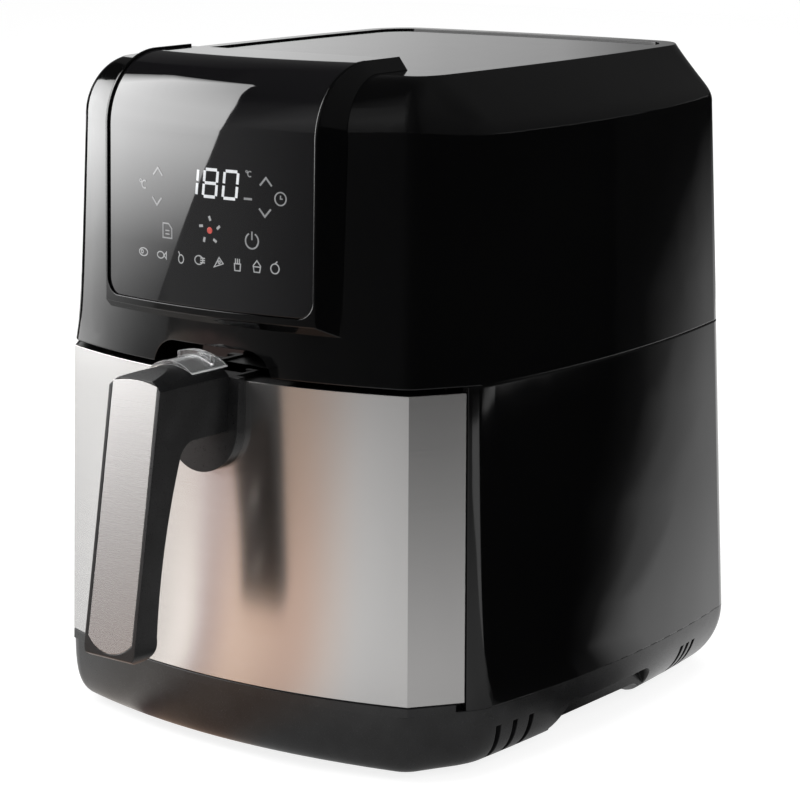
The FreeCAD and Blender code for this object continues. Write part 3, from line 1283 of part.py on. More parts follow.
def bladed_wheel(hub, radius, z, pitch):
    """Hub with flat blades set at a pitch angle, on the fan's axis."""
    thick = BLADE_THICK
    height = z[1] - z[0]
    middle = (z[0] + z[1]) / 2
    pieces = [cylinder(hub, V(0, AXIS_Y, z[0]), height)]
    chord = height / math.cos(math.radians(pitch)) - thick
    for i in range(BLADE_COUNT):
        blade = Part.makeBox(radius - hub + 1, thick, chord, V(hub - 1, -thick / 2, -chord / 2))
        blade.rotate(V(0, 0, 0), X_AXIS, pitch)
        blade.rotate(V(0, 0, 0), Z_AXIS, i * 360 / BLADE_COUNT)
        blade.translate(V(0, AXIS_Y, middle))
        pieces.append(blade)
    return fuse(pieces).cut(cylinder(SHAFT_RADIUS, V(0, AXIS_Y, z[0] - 1), height + 2))


def cooling_fan():
    return bladed_wheel(COOLING_HUB, COOLING_RADIUS, COOLING_Z, COOLING_PITCH)


def convection_fan():
    """Stamped disc with upright blades below it."""
    low, high = CONVECTION_Z
    disc = cylinder(CONVECTION_RADIUS, V(0, AXIS_Y, high - 0.4), BLADE_THICK)
    wheel = bladed_wheel(CONVECTION_HUB, CONVECTION_RADIUS - 2, CONVECTION_Z, 0)
    return fuse([disc, wheel]).cut(cylinder(SHAFT_RADIUS, V(0, AXIS_Y, low - 5), 30))


def fan_nut():
    low = SHAFT_Z[0] + 1
    nut = prism(rounded_wire(polygon(NUT_RADIUS, 6, V(0, AXIS_Y, low)), [0] * 6), V(0, 0, NUT_HEIGHT))
    return nut.cut(cylinder(SHAFT_RADIUS, V(0, AXIS_Y, low - 1), NUT_HEIGHT + 2))


def power_board():
    return box((POWER_X, POWER_X + BOARD_THICK), POWER_Y, (SEAM + WALL, POWER_TOP))


def power_parts():
    """Relay, filter capacitor and transformer on the power board."""
    relay = box((POWER_X - 12, POWER_X), (-40, -22), (236, 252))
    capacitor = cylinder(7.0, V(POWER_X - 12, -4, 240), 12, X_AXIS)
    transformer = box((POWER_X - 13.5, POWER_X), (8, 30), (232, 256))
    return Part.makeCompound([relay, capacitor, transformer])


def drawer_switch():
    """Microswitch behind the cavity that senses the closed drawer."""
    low, high = SWITCH_X
    body = box((low, high), (LINER_BACK, LINER_BACK + SWITCH_DEPTH), SWITCH_Z)
    lever = box((low + 2, high - 2), (LINER_BACK + 2, LINER_BACK + 3), (SWITCH_Z[1], SWITCH_Z[1] + 1))
    return fuse([body, lever])


def housing_screws():
    places = [p - V(0, 0, BOSS_DEPTH) for p in HOUSING_SCREWS]
    return screws(places, Z_AXIS, 2.0, BOSS_DEPTH + 2 * WALL - 0.6)


def base_screws():
    return screws(BASE_SCREWS, Z_AXIS, 1.6, BASE_TOP - BASE_UNDER + 4)


FRAME_SHIFT = -(HANDLE_FRONT_LOW[0] + BACK) / 2


def export(name, shape):
    shape = shape.copy()
    shape.translate(V(0, FRAME_SHIFT, 0))
    shape.exportStep("parts/%s.step" % name)
    print("%-18s solids %d valid %s volume %.0f" % (name, len(shape.Solids), shape.isValid(), shape.Volume))


def main():
    os.makedirs("parts", exist_ok=True)
    print("frame shift", FRAME_SHIFT)
    filled = filled_housing()
    export("upper_housing", upper_housing(filled))
    export("control_hood", control_hood(filled))
    makers = [base_tray, rubber_feet, base_screws, lower_housing, housing_screws, top_plate, rear_vent,
              cord_gland, touch_panel, display_board, display_module, board_screws, cavity_liner,
              drawer_rails, drawer_switch, heat_shield, heating_element, element_clips,
              temperature_probe, thermal_cutout, motor_plate, lower_bush, upper_bush, motor_strap,
              motor_stator, motor_coil, motor_screws, motor_shaft, motor_rotor, cooling_fan,
              convection_fan, fan_nut, power_board, power_parts, steel_front, drawer_frame, frame_screws,
              handle_socket, handle_grip, handle_insert, handle_cover, handle_screws, release_button,
              button_spring, button_guard, latch_lever, latch_pin, basket_strip, basket_rivets, pan,
              basket, crisper_plate]
    for maker in makers:
        export(maker.__name__, maker())


main()
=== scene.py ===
import json
import math

import bpy
from mathutils import Matrix, Vector


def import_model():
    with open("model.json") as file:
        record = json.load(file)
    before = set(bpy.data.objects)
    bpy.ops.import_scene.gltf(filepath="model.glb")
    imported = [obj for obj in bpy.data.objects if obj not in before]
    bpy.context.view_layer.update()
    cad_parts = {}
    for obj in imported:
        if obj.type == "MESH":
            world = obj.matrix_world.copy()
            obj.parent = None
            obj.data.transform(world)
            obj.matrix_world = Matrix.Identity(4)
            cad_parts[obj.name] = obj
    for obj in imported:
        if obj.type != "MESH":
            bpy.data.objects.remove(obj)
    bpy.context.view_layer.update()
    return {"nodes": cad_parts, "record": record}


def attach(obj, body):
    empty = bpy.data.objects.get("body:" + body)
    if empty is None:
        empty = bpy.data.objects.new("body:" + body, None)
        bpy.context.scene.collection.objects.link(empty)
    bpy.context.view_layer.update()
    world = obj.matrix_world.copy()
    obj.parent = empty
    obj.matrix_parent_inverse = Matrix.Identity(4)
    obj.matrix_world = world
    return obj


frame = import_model()

# Camera, in metres and degrees, from the photograph's fitted view
IMAGE_SIZE = 800
FOCAL_PIXELS = 2772.634
SENSOR_WIDTH = 36.0
CAMERA_PLACE = Vector((0.8370, -1.02465, 0.4337))
CAMERA_AZIMUTH = math.radians(38.223)
CAMERA_ELEVATION = math.radians(12.098)
CAMERA_ROLL = math.radians(-0.4215)

# Touch panel's outer face: a cone about an upright axis, leaning back with height
LENS_AXIS_Y = 0.20945
LENS_RADIUS = 0.3244
LENS_LEVEL = 0.034
LENS_DRAFT = 0.037
LENS_TONES = ((0.004, 0.004, 0.0045), (0.0065, 0.006, 0.0068))
PRINT_PROUD = 0.00006
PRINT_THICK = 0.0001

# Panel's printed figures, in millimetres across and up the face
DIGIT_SIZE = (7.6, 12.2)
DIGIT_SLANT = 0.1
DIGIT_STROKE = 1.35
DIGIT_GAP = 0.55
DIGIT_LEVEL = 262.8
SEGMENTS = {
    "top": ((0, 1), (1, 1)), "upper_left": ((0, 0.5), (0, 1)), "upper_right": ((1, 0.5), (1, 1)),
    "middle": ((0, 0.5), (1, 0.5)), "lower_left": ((0, 0), (0, 0.5)), "lower_right": ((1, 0), (1, 0.5)),
    "bottom": ((0, 0), (1, 0)),
}
CHEVRON_HALF = (3.1, 1.75)
CHEVRON_STROKE = 0.8
CLOCK_PLACE = (45.1, 264.5)
POWER_PLACE = (30.1, 244.8)
MENU_PLACE = (-20.2, 245.0)
FAN_PLACE = (6.1, 247.6)
FAN_PETALS = 5
FAN_REACH = 5.4
FOOD_COLUMNS = (-36.5, -23.9, -11.7, 0.3, 11.5, 22.2, 32.9, 42.5)
FOOD_LEVEL = 233.6
FOOD_STROKE = 0.5

# Studio, seen from the middle of the object: bearings turn from the front (-Y) towards the left (-X)
STUDIO_CENTRE = Vector((0.0, 0.03, 0.0))
FLAG_RADIUS = 1.25
FLAG_FOOT = 0.05
FLAG_SPLIT = 0.5
FLAG_MIDDLE = 0.95
FLAG_HEIGHT = 1.7
OVERHEAD_HEIGHT = FLAG_HEIGHT - 0.01
OVERHEAD_RADIUS = FLAG_RADIUS * 1.08
FLOOR_SIZE = 8.0
CARD_LIFT = 0.003
SHADE_REACH = 0.3
SHADE_TURN = 40
SHADE_LEFT = 0.95
SHADE_FRONT = 0.6
WHITE_SHARE = 0.6
WHITE_LEVEL = 1.36
WORLD_LEVEL = 0.55

# Softbox, on a circle about the middle of the panel
LENS_MIDDLE = Vector((0.0, -0.11, 0.0))
SOFTBOX_DISTANCE = 0.75
SOFTBOX_FOOT = 0.05
SOFTBOX_TOP = 1.34
SOFTBOX_ROWS = 172
EDGE_KINK = 0.245
EDGE_BEND = 0.37


def bearing(degrees, distance, height):
    """Point at a bearing and a distance from the middle of the studio."""
    angle = math.radians(degrees)
    return STUDIO_CENTRE + Vector((-math.sin(angle) * distance, -math.cos(angle) * distance, height))


def mesh_object(name, points, faces):
    mesh = bpy.data.meshes.new(name)
    mesh.from_pydata([tuple(p) for p in points], [], faces)
    mesh.update()
    obj = bpy.data.objects.new(name, mesh)
    bpy.context.scene.collection.objects.link(obj)
    return obj


class Nodes:
    """Small helper that adds nodes to a material and links them by socket names."""

    def __init__(self, name):
        self.material = bpy.data.materials.new(name)
        self.material.use_nodes = True
        self.tree = self.material.node_tree
        self.tree.nodes.clear()
        self.output = self.add("ShaderNodeOutputMaterial")

    def add(self, kind, settings=None, **sockets):
        node = self.tree.nodes.new(kind)
        for key, value in (settings or {}).items():
            setattr(node, key, value)
        for key, value in sockets.items():
            self.set(node, key.replace("_", " "), value)
        return node

    def set(self, node, socket, value):
        target = node.inputs[socket]
        if isinstance(value, bpy.types.NodeSocket):
            self.tree.links.new(value, target)
        else:
            target.default_value = value

    def place(self, stretch):
        """Object coordinates scaled along each axis."""
        coordinates = self.add("ShaderNodeTexCoord")
        mapping = self.add("ShaderNodeMapping", Vector=coordinates.outputs["Object"], Scale=stretch)
        return mapping.outputs["Vector"]

    def noise(self, vector, scale, detail=3.0):
        node = self.add("ShaderNodeTexNoise", Vector=vector, Scale=scale, Detail=detail)
        return node.outputs["Fac"]

    def ramp(self, factor, low, high, start=0.3, end=0.7):
        """Colour running from low to high as the factor goes from start to end."""
        node = self.add("ShaderNodeValToRGB", Fac=factor)
        node.color_ramp.elements[0].position = start
        node.color_ramp.elements[1].position = end
        node.color_ramp.elements[0].color = (*low, 1.0)
        node.color_ramp.elements[1].color = (*high, 1.0)
        return node.outputs["Color"]

    def span(self, factor, low, high):
        """Number running from low to high with the factor."""
        node = self.add("ShaderNodeMapRange", Value=factor)
        node.inputs["From Min"].default_value = 0.3
        node.inputs["From Max"].default_value = 0.7
        node.inputs["To Min"].default_value = low
        node.inputs["To Max"].default_value = high
        return node.outputs["Result"]

    def relief(self, height, depth, edge):
        """Surface direction with softened edges and a fine relief of the given depth in metres."""
        soft = self.add("ShaderNodeBevel", {"samples": 6}, Radius=edge)
        bump = self.add("ShaderNodeBump", Height=height, Distance=depth, Strength=1.0,
                        Normal=soft.outputs["Normal"])
        return bump.outputs["Normal"]

    def surface(self, colour, roughness, normal, **constants):
        shader = self.add("ShaderNodeBsdfPrincipled")
        self.set(shader, "Base Color", colour)
        self.set(shader, "Roughness", roughness)
        self.set(shader, "Normal", normal)
        for key, value in constants.items():
            self.set(shader, key.replace("_", " "), value)
        self.set(self.output, "Surface", shader.outputs["BSDF"])
        return shader


def grained(name, low, high, rough, grain, depth, edge=0.0004, stretch=(1.0, 1.0, 1.0), **constants):
    """Finish whose colour, roughness and relief vary with a grain of the given size in metres."""
    n = Nodes(name)
    place = n.place(stretch)
    fine = n.noise(place, 1.0 / grain)
    broad = n.noise(place, 0.06 / grain, 2.0)
    n.surface(n.ramp(broad, low, high), n.span(fine, *rough), n.relief(fine, depth, edge), **constants)
    return n.material


def gloss_black():
    """Polished moulding: a faint ripple over long distances, as injection moulded gloss shows."""
    return grained("gloss_black", (0.0012, 0.0012, 0.0013), (0.002, 0.002, 0.0021), (0.045, 0.075), 0.012,
                   0.000002, 0.0006, IOR=1.5)


def satin_black():
    return grained("satin_black", (0.006, 0.006, 0.0063), (0.011, 0.011, 0.0115), (0.26, 0.36), 0.0007,
                   0.000012, 0.0007, IOR=1.5)


def panel_lens():
    return grained("panel_lens", *LENS_TONES, (0.02, 0.035), 0.02, 0.000001, 0.0005, IOR=1.5,
                   Specular_IOR_Level=1.0)


def clear_cover():
    """Clear moulding with a painted highlight: a pale matte colour is mixed in along its rounded edges,
    standing in for the light that gathers there.
    """
    n = Nodes("clear_cover")
    fine = n.noise(n.place((1.0, 1.0, 1.0)), 180.0)
    clear = n.surface(n.ramp(fine, (0.93, 0.94, 0.95), (0.98, 0.98, 0.98)), n.span(fine, 0.04, 0.08),
                      n.relief(fine, 0.000004, 0.0004), IOR=1.46, Transmission_Weight=0.96)
    rounded = n.add("ShaderNodeBevel", {"samples": 6}, Radius=0.0011)
    geometry = n.add("ShaderNodeNewGeometry")
    facing = n.add("ShaderNodeVectorMath", {"operation": "DOT_PRODUCT"})
    n.tree.links.new(rounded.outputs["Normal"], facing.inputs[0])
    n.tree.links.new(geometry.outputs["Normal"], facing.inputs[1])
    edge = n.add("ShaderNodeMapRange", Value=facing.outputs["Value"])
    edge.inputs["From Min"].default_value = 0.97
    edge.inputs["From Max"].default_value = 0.8
    edge.inputs["To Max"].default_value = 0.5
    # painted highlight: a pale matte colour mixed in where the softened edge normal turns away from the
    # surface's own normal
    pale = n.add("ShaderNodeBsdfDiffuse")
    n.set(pale, "Color", n.ramp(fine, (0.6, 0.61, 0.62), (0.7, 0.7, 0.7)))
    mix = n.add("ShaderNodeMixShader", Fac=edge.outputs["Result"])
    n.tree.links.new(clear.outputs["BSDF"], mix.inputs[1])
    n.tree.links.new(pale.outputs["BSDF"], mix.inputs[2])
    n.set(n.output, "Surface", mix.outputs["Shader"])
    return n.material


def brushed_steel(name="brushed_steel", rough=(0.205, 0.235), tone=1.0):
    """Horizontal brushing: long fine scratches that spread reflections up and down."""
    n = Nodes(name)
    scratches = n.noise(n.place((6.0, 6.0, 5200.0)), 1.0, 3.0)
    patches = n.noise(n.place((18.0, 18.0, 5.0)), 1.0, 2.0)
    mixed = n.add("ShaderNodeMath", {"operation": "MULTIPLY_ADD"})
    n.tree.links.new(scratches, mixed.inputs[0])
    mixed.inputs[1].default_value = 0.6
    n.tree.links.new(patches, mixed.inputs[2])
    colour = n.ramp(mixed.outputs["Value"], [tone * c for c in (0.6, 0.59, 0.585)],
                    [tone * c for c in (0.66, 0.65, 0.64)], 0.55, 1.05)
    geometry = n.add("ShaderNodeNewGeometry")
    along = n.add("ShaderNodeVectorMath", {"operation": "CROSS_PRODUCT"})
    n.tree.links.new(geometry.outputs["Normal"], along.inputs[0])
    along.inputs[1].default_value = (0.0, 0.0, 1.0)
    shader = n.surface(colour, n.span(scratches, *rough), n.relief(scratches, 0.0000003, 0.0003),
                       Metallic=1.0, Anisotropic=0.8, Anisotropic_Rotation=0.25)
    n.set(shader, "Tangent", along.outputs["Vector"])
    return n.material


def pan_coating():
    """Non-stick coating: dark grey with pale specks."""
    n = Nodes("pan_coating")
    place = n.place((1.0, 1.0, 1.0))
    specks = n.add("ShaderNodeTexVoronoi", Vector=place, Scale=900.0)
    fine = n.noise(place, 1500.0)
    colour = n.ramp(specks.outputs["Distance"], (0.12, 0.12, 0.12), (0.025, 0.025, 0.026), 0.05, 0.16)
    n.surface(colour, n.span(fine, 0.34, 0.46), n.relief(fine, 0.00002, 0.0005))
    return n.material


def coil_copper():
    return grained("bronze", (0.42, 0.22, 0.1), (0.62, 0.36, 0.18), (0.25, 0.4), 0.002, 0.00002, 0.0002,
                   (1.0, 1.0, 6.0), Metallic=1.0)


def circuit_board():
    return grained("circuit_board", (0.01, 0.09, 0.03), (0.03, 0.17, 0.07), (0.3, 0.45), 0.003,
                   0.00001, 0.0002)


def metal(name, low, high, rough, grain, stretch=(1.0, 1.0, 1.0)):
    return grained(name, low, high, rough, grain, 0.000006, 0.0003, stretch, Metallic=1.0)


def finishes():
    """Material of each slot of the record."""
    made = {
        "gloss_black": gloss_black(),
        "satin_black": satin_black(),
        "panel_lens": panel_lens(),
        "clear_cover": clear_cover(),
        "brushed_steel": brushed_steel(),
        "pan_coating": pan_coating(),
        "bronze": coil_copper(),
        "circuit_board": circuit_board(),
    }
    made["sheet_steel"] = metal("sheet_steel", (0.42, 0.42, 0.43), (0.56, 0.56, 0.56), (0.28, 0.42), 0.006)
    made["heater_tube"] = metal("heater_tube", (0.06, 0.055, 0.05), (0.16, 0.13, 0.11), (0.4, 0.6), 0.008)
    made["fan_aluminium"] = metal("fan_aluminium", (0.6, 0.6, 0.61), (0.74, 0.74, 0.75), (0.25, 0.4), 0.004)
    made["fasteners"] = metal("fasteners", (0.5, 0.5, 0.5), (0.66, 0.65, 0.63), (0.2, 0.34), 0.002)
    made["laminations"] = metal("laminations", (0.1, 0.1, 0.11), (0.24, 0.24, 0.25), (0.35, 0.5), 0.001,
                                (0.1, 0.1, 2.0))
    made["foot_rubber"] = grained("foot_rubber", (0.012, 0.012, 0.012), (0.024, 0.024, 0.024), (0.75, 0.9),
                                  0.0008, 0.00003)
    made["electric_parts"] = grained("electric_parts", (0.03, 0.03, 0.034), (0.07, 0.07, 0.075),
                                     (0.4, 0.55), 0.001, 0.00001)
    return made


def dress_nodes(materials):
    """Gives every solid the finish of its slot, and the handle's strip a duller steel."""
    for part in frame["record"]["subparts"]:
        obj = frame["nodes"][part["node"]]
        obj.data.materials.clear()
        obj.data.materials.append(materials[part["material_slot"]])
    frame["nodes"]["handle_insert"].data.materials[0] = brushed_steel("insert_steel", (0.26, 0.28), 0.57)


def lit_print(name, low, high, strength):
    """Print lit from behind under the panel's gloss, a little uneven as a light guide makes it."""
    n = Nodes(name)
    uneven = n.noise(n.place((1.0, 1.0, 1.0)), 400.0)
    n.surface(n.ramp(uneven, *LENS_TONES), n.span(uneven, 0.03, 0.045),
              n.relief(uneven, 0.0000002, 0.0001), IOR=1.5, Specular_IOR_Level=1.0,
              Emission_Color=n.ramp(uneven, low, high), Emission_Strength=strength)
    return n.material


def on_lens(x, z):
    """Point on the panel's face, from millimetres across and up."""
    x, z = x / 1000, z / 1000
    radius = LENS_RADIUS - LENS_DRAFT * (z - LENS_LEVEL) + PRINT_PROUD
    return Vector((x, LENS_AXIS_Y - math.sqrt(radius ** 2 - x ** 2), z))


def stroke(points, width, closed=False):
    """Mitred band of even width along a line on the panel: its corner points and faces."""
    count = len(points)
    corners = []
    for i, (x, z) in enumerate(points):
        before = points[i - 1] if closed or i else points[i]
        after = points[(i + 1) % count] if closed or i + 1 < count else points[i]
        inward = Vector((x - before[0], z - before[1]))
        outward = Vector((after[0] - x, after[1] - z))
        first = inward.normalized() if inward.length else outward.normalized()
        second = outward.normalized() if outward.length else first
        along = (first + second).normalized()
        side = Vector((-along.y, along.x)) * (width / 2 / max(0.4, along.dot(first)))
        corners += [on_lens(x - side.x, z - side.y), on_lens(x + side.x, z + side.y)]
    runs = range(count if closed else count - 1)
    faces = [(2 * i, 2 * ((i + 1) % count), 2 * ((i + 1) % count) + 1, 2 * i + 1) for i in runs]
    return corners, faces


def arc_points(centre, radius, start=0.0, end=360.0, steps=20, tall=1.0):
    """Points round part of a circle or an upright ellipse, in degrees from its right."""
    turns = [math.radians(start + (end - start) * i / steps) for i in range(steps + 1)]
    return [(centre[0] + radius * math.cos(t), centre[1] + radius * tall * math.sin(t)) for t in turns]


def ring_points(centre, radius, tall=1.0, steps=20):
    return arc_points(centre, radius, 0.0, 360.0, steps, tall)[:-1]


def printed(name, strokes, material):
    """One printed figure of the panel, from strokes given as (points, width, closed)."""
    points, faces = [], []
    for line, width, closed in strokes:
        corners, bands = stroke(line, width, closed)
        faces += [tuple(i + len(points) for i in band) for band in bands]
        points += corners
    obj = mesh_object(name, points, faces)
    thick = obj.modifiers.new("thick", "SOLIDIFY")
    thick.thickness = PRINT_THICK
    thick.offset = 0.0
    obj.data.materials.append(material)
    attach(obj, "housing")


def digit(left, bottom, lit):
    """Strokes of a slanted seven-segment digit with small gaps between its segments."""
    strokes = []
    for name in lit:
        ends = [Vector((x * DIGIT_SIZE[0], z * DIGIT_SIZE[1])) for x, z in SEGMENTS[name]]
        gap = (ends[1] - ends[0]).normalized() * DIGIT_GAP
        line = [ends[0] + gap, ends[1] - gap]
        slanted = [(left + p.x + p.y * DIGIT_SLANT, bottom + p.y) for p in line]
        strokes.append((slanted, DIGIT_STROKE, False))
    return strokes


def moved(points, centre):
    return [(x + centre[0], z + centre[1]) for x, z in points]


def panel_digits(material):
    every = list(SEGMENTS)
    printed("digit_one", digit(-9.6, DIGIT_LEVEL, ["upper_right", "lower_right"]), material)
    printed("digit_eight", digit(2.0, DIGIT_LEVEL, every), material)
    printed("digit_zero", digit(13.6, DIGIT_LEVEL, [s for s in every if s != "middle"]), material)


def degrees_sign(name, centre, material, size=1.0):
    ring = ring_points((centre[0] - 1.5 * size, centre[1] + 1.2 * size), 0.55 * size, 1.0, 10)
    letter = arc_points((centre[0] + 0.6 * size, centre[1]), 1.4 * size, 55, 305, 12)
    printed(name, [(ring, 0.4 * size, True), (letter, 0.55 * size, False)], material)


def chevron(name, centre, up, material):
    half, rise = CHEVRON_HALF
    tip = rise if up else -rise
    line = moved([(-half, -tip), (0, tip), (half, -tip)], centre)
    printed(name, [(line, CHEVRON_STROKE, False)], material)


def panel_controls(material):
    chevron("hotter_mark", (-26.6, 271.6), True, material)
    chevron("cooler_mark", (-27.2, 258.0), False, material)
    chevron("longer_mark", (37.4, 271.6), True, material)
    chevron("shorter_mark", (37.0, 257.8), False, material)
    degrees_sign("heat_sign", (-36.5, 265.0), material, 1.25)
    degrees_sign("unit_sign", (28.3, 274.5), material, 0.85)
    printed("minutes_mark", [([(25.6, 263.4), (30.0, 263.4)], 1.0, False)], material)
    hands = moved([(0, 1.5), (0, 0), (1.1, 0)], CLOCK_PLACE)
    printed("timer_mark", [(ring_points(CLOCK_PLACE, 2.9), 0.6, True), (hands, 0.55, False)], material)
    bar = moved([(0, 0.4), (0, 4.2)], POWER_PLACE)
    ring = arc_points(POWER_PLACE, 3.5, 118, 422)
    printed("power_mark", [(ring, 0.7, False), (bar, 0.7, False)], material)
    sheet = moved([(-2.9, -3.2), (2.9, -3.2), (2.9, 1.2), (0.8, 3.4), (-2.9, 3.4)], MENU_PLACE)
    lines = [(moved([(-1.3, z), (1.3, z)], MENU_PLACE), 0.5, False) for z in (0.2, -1.4)]
    printed("menu_mark", [(sheet, 0.6, True)] + lines, material)


def panel_fan(white, red):
    """Running mark: a red dot with five short petals turned a little off the radius."""
    printed("fan_dot", [(ring_points(FAN_PLACE, 0.75, 1.0, 16), 1.5, True)], red)
    petals = []
    for i in range(FAN_PETALS):
        angle = 2 * math.pi * i / FAN_PETALS + math.pi / 2
        out = Vector((math.cos(angle), math.sin(angle)))
        lean = Vector((-out.y, out.x)) * 0.45
        middle = Vector(FAN_PLACE) + out * FAN_REACH
        petals.append(([tuple(middle - out - lean), tuple(middle + out + lean)], 1.15, False))
    printed("fan_petals", petals, white)


def food_marks():
    """Strokes of the eight cooking programmes, each drawn about its own middle."""
    fish = ring_points((-0.8, 0), 2.2, 0.7, 16)
    wedge = [(-2.6, -2.2), (0.2, 2.2), (2.6, -0.4)]
    return {
        "steak": [(ring_points((0, 0.2), 2.9, 0.62, 16), True),
                  (ring_points((-0.9, 0.3), 0.8, 1, 8), True)],
        "fish": [(fish, True), ([(1.4, 0), (3.0, 1.5), (3.0, -1.5), (1.4, 0)], False)],
        "drumstick": [(ring_points((0.3, -0.6), 1.6, 1.2, 14), True), ([(-0.4, 1.1), (-1.3, 2.8)], False)],
        "bread": [(ring_points((-0.6, 0), 2.5, 0.8, 16), True)]
                 + [([(0.2, z), (3.0, z)], False) for z in (1.0, 0.0, -1.0)],
        "pizza": [(wedge, True), (ring_points((0.3, 0.1), 0.6, 1, 8), True)],
        "chips": [([(-1.5, -2.8), (1.5, -2.8), (1.7, 0.3), (-1.7, 0.3)], True)]
                 + [([(x, 0.5), (x, 2.6)], False) for x in (-1.1, 0.0, 1.1)],
        "muffin": [([(-1.5, -2.6), (1.5, -2.6), (2.0, 0.2), (0.0, 2.6), (-2.0, 0.2)], True),
                   ([(-2.0, -0.2), (2.0, -0.2)], False)],
        "vegetable": [(ring_points((0, -0.3), 2.2, 1.0, 16), True), ([(0, 1.8), (1.2, 3.0)], False)],
    }


def panel_foods(material):
    for column, (name, lines) in zip(FOOD_COLUMNS, food_marks().items()):
        strokes = [(moved(line, (column, FOOD_LEVEL)), FOOD_STROKE, closed) for line, closed in lines]
        printed(name + "_mark", strokes, material)


def touch_panel_print():
    bright = lit_print("display_light", (0.68, 0.7, 0.72), (0.8, 0.81, 0.83), 1.0)
    soft = lit_print("programme_light", (0.31, 0.32, 0.32), (0.38, 0.38, 0.39), 1.0)
    dim = lit_print("key_light", (0.22, 0.225, 0.23), (0.27, 0.27, 0.275), 1.0)
    red = lit_print("running_light", (0.42, 0.05, 0.04), (0.6, 0.1, 0.08), 1.0)
    panel_digits(bright)
    panel_controls(dim)
    panel_fan(soft, red)
    panel_foods(soft)


def directly_seen(tree):
    """1 for rays from the lens, from mirrors and through glass, 0 for light that falls on a surface."""
    path = tree.nodes.new("ShaderNodeLightPath")
    value = path.outputs["Is Camera Ray"]
    for kind in ("Is Glossy Ray", "Is Transmission Ray"):
        either = tree.nodes.new("ShaderNodeMath")
        either.operation = "MAXIMUM"
        tree.links.new(value, either.inputs[0])
        tree.links.new(path.outputs[kind], either.inputs[1])
        value = either.outputs["Value"]
    return value


def backdrop_mix(n, lit):
    """Shows a share of plain white to the lens and in reflections, and lit paint to everything else."""
    part = n.add("ShaderNodeMath", {"operation": "MULTIPLY"})
    n.tree.links.new(directly_seen(n.tree), part.inputs[0])
    part.inputs[1].default_value = WHITE_SHARE
    plain = n.add("ShaderNodeEmission", Color=(1.0, 1.0, 1.0, 1.0), Strength=WHITE_LEVEL)
    mix = n.add("ShaderNodeMixShader", Fac=part.outputs["Value"])
    n.tree.links.new(lit, mix.inputs[1])
    n.tree.links.new(plain.outputs["Emission"], mix.inputs[2])
    return mix.outputs["Shader"]


def floor():
    half = FLOOR_SIZE / 2
    corners = [(-half, -half, 0), (half, -half, 0), (half, half, 0), (-half, half, 0)]
    obj = mesh_object("floor", corners, [(0, 1, 2, 3)])
    n = Nodes("floor_paint")
    grain = n.noise(n.place((1.0, 1.0, 1.0)), 40.0)
    paint = n.add("ShaderNodeBsdfDiffuse", Roughness=0.5)
    n.set(paint, "Color", n.ramp(grain, (0.88, 0.88, 0.88), (0.91, 0.91, 0.91)))
    n.set(n.output, "Surface", backdrop_mix(n, paint.outputs["BSDF"]))
    obj.data.materials.append(n.material)


def world():
    """Even soft light all round, white where it is seen directly."""
    made = bpy.data.worlds.new("studio")
    made.use_nodes = True
    bpy.context.scene.world = made
    tree = made.node_tree
    tree.nodes.clear()
    soft = tree.nodes.new("ShaderNodeBackground")
    soft.inputs["Strength"].default_value = WORLD_LEVEL
    plain = tree.nodes.new("ShaderNodeBackground")
    plain.inputs["Color"].default_value = (1.0, 1.0, 1.0, 1.0)
    mix = tree.nodes.new("ShaderNodeMixShader")
    tree.links.new(directly_seen(tree), mix.inputs["Fac"])
    tree.links.new(soft.outputs["Background"], mix.inputs[1])
    tree.links.new(plain.outputs["Background"], mix.inputs[2])
    output = tree.nodes.new("ShaderNodeOutputWorld")
    tree.links.new(mix.outputs["Shader"], output.inputs["Surface"])


def card_material():
    """Studio card that glows by the shade painted on its corners."""
    n = Nodes("studio_card")
    shade = n.add("ShaderNodeVertexColor", {"layer_name": "shade"})
    glow = n.add("ShaderNodeEmission", Color=shade.outputs["Color"], Strength=1.0)
    n.set(n.output, "Surface", glow.outputs["Emission"])
    return n.material


def studio_card(name, rows, material):
    """Sheet through rows of (point, shade), seen only in reflections: a softbox, a flag or a floor card."""
    across = len(rows[0])
    points = [p for row in rows for p, _ in row]
    faces = []
    for r in range(len(rows) - 1):
        for c in range(across - 1):
            first = r * across + c
            faces.append((first, first + 1, first + across + 1, first + across))
    obj = mesh_object(name, points, faces)
    layer = obj.data.color_attributes.new("shade", "FLOAT_COLOR", "POINT")
    for item, shade in zip(layer.data, [s for row in rows for _, s in row]):
        item.color = (*shade, 1.0)
    obj.data.materials.append(material)
    obj.visible_camera = False
    obj.visible_diffuse = False
    obj.visible_transmission = False
    obj.visible_shadow = False


def grey(level):
    return (level, level, level)


def from_lens(degrees, height):
    """Point at a bearing from the middle of the panel, on the softboxes' circle."""
    angle = math.radians(degrees)
    level = Vector((-math.sin(angle), -math.cos(angle), 0)) * SOFTBOX_DISTANCE
    return LENS_MIDDLE + level + Vector((0, 0, height))


def softbox_edge(height):
    """Bearing of the softbox's right edge, which slants in from the foot and then curves out to the top."""
    if height < EDGE_KINK:
        up = height - SOFTBOX_FOOT
        return 62.0 - 105.0 * up - 110.0 * up ** 2
    return 36.8 + 5.0 * max(0.0, EDGE_BEND - height) + 41.5 * max(0.0, height - EDGE_BEND) ** 2.2


def at_height(stops, height):
    """Value between (height, value) stops."""
    for (low, first), (high, second) in zip(stops, stops[1:]):
        if height <= high:
            return first + (second - first) * (height - low) / (high - low)
    return stops[-1][1]


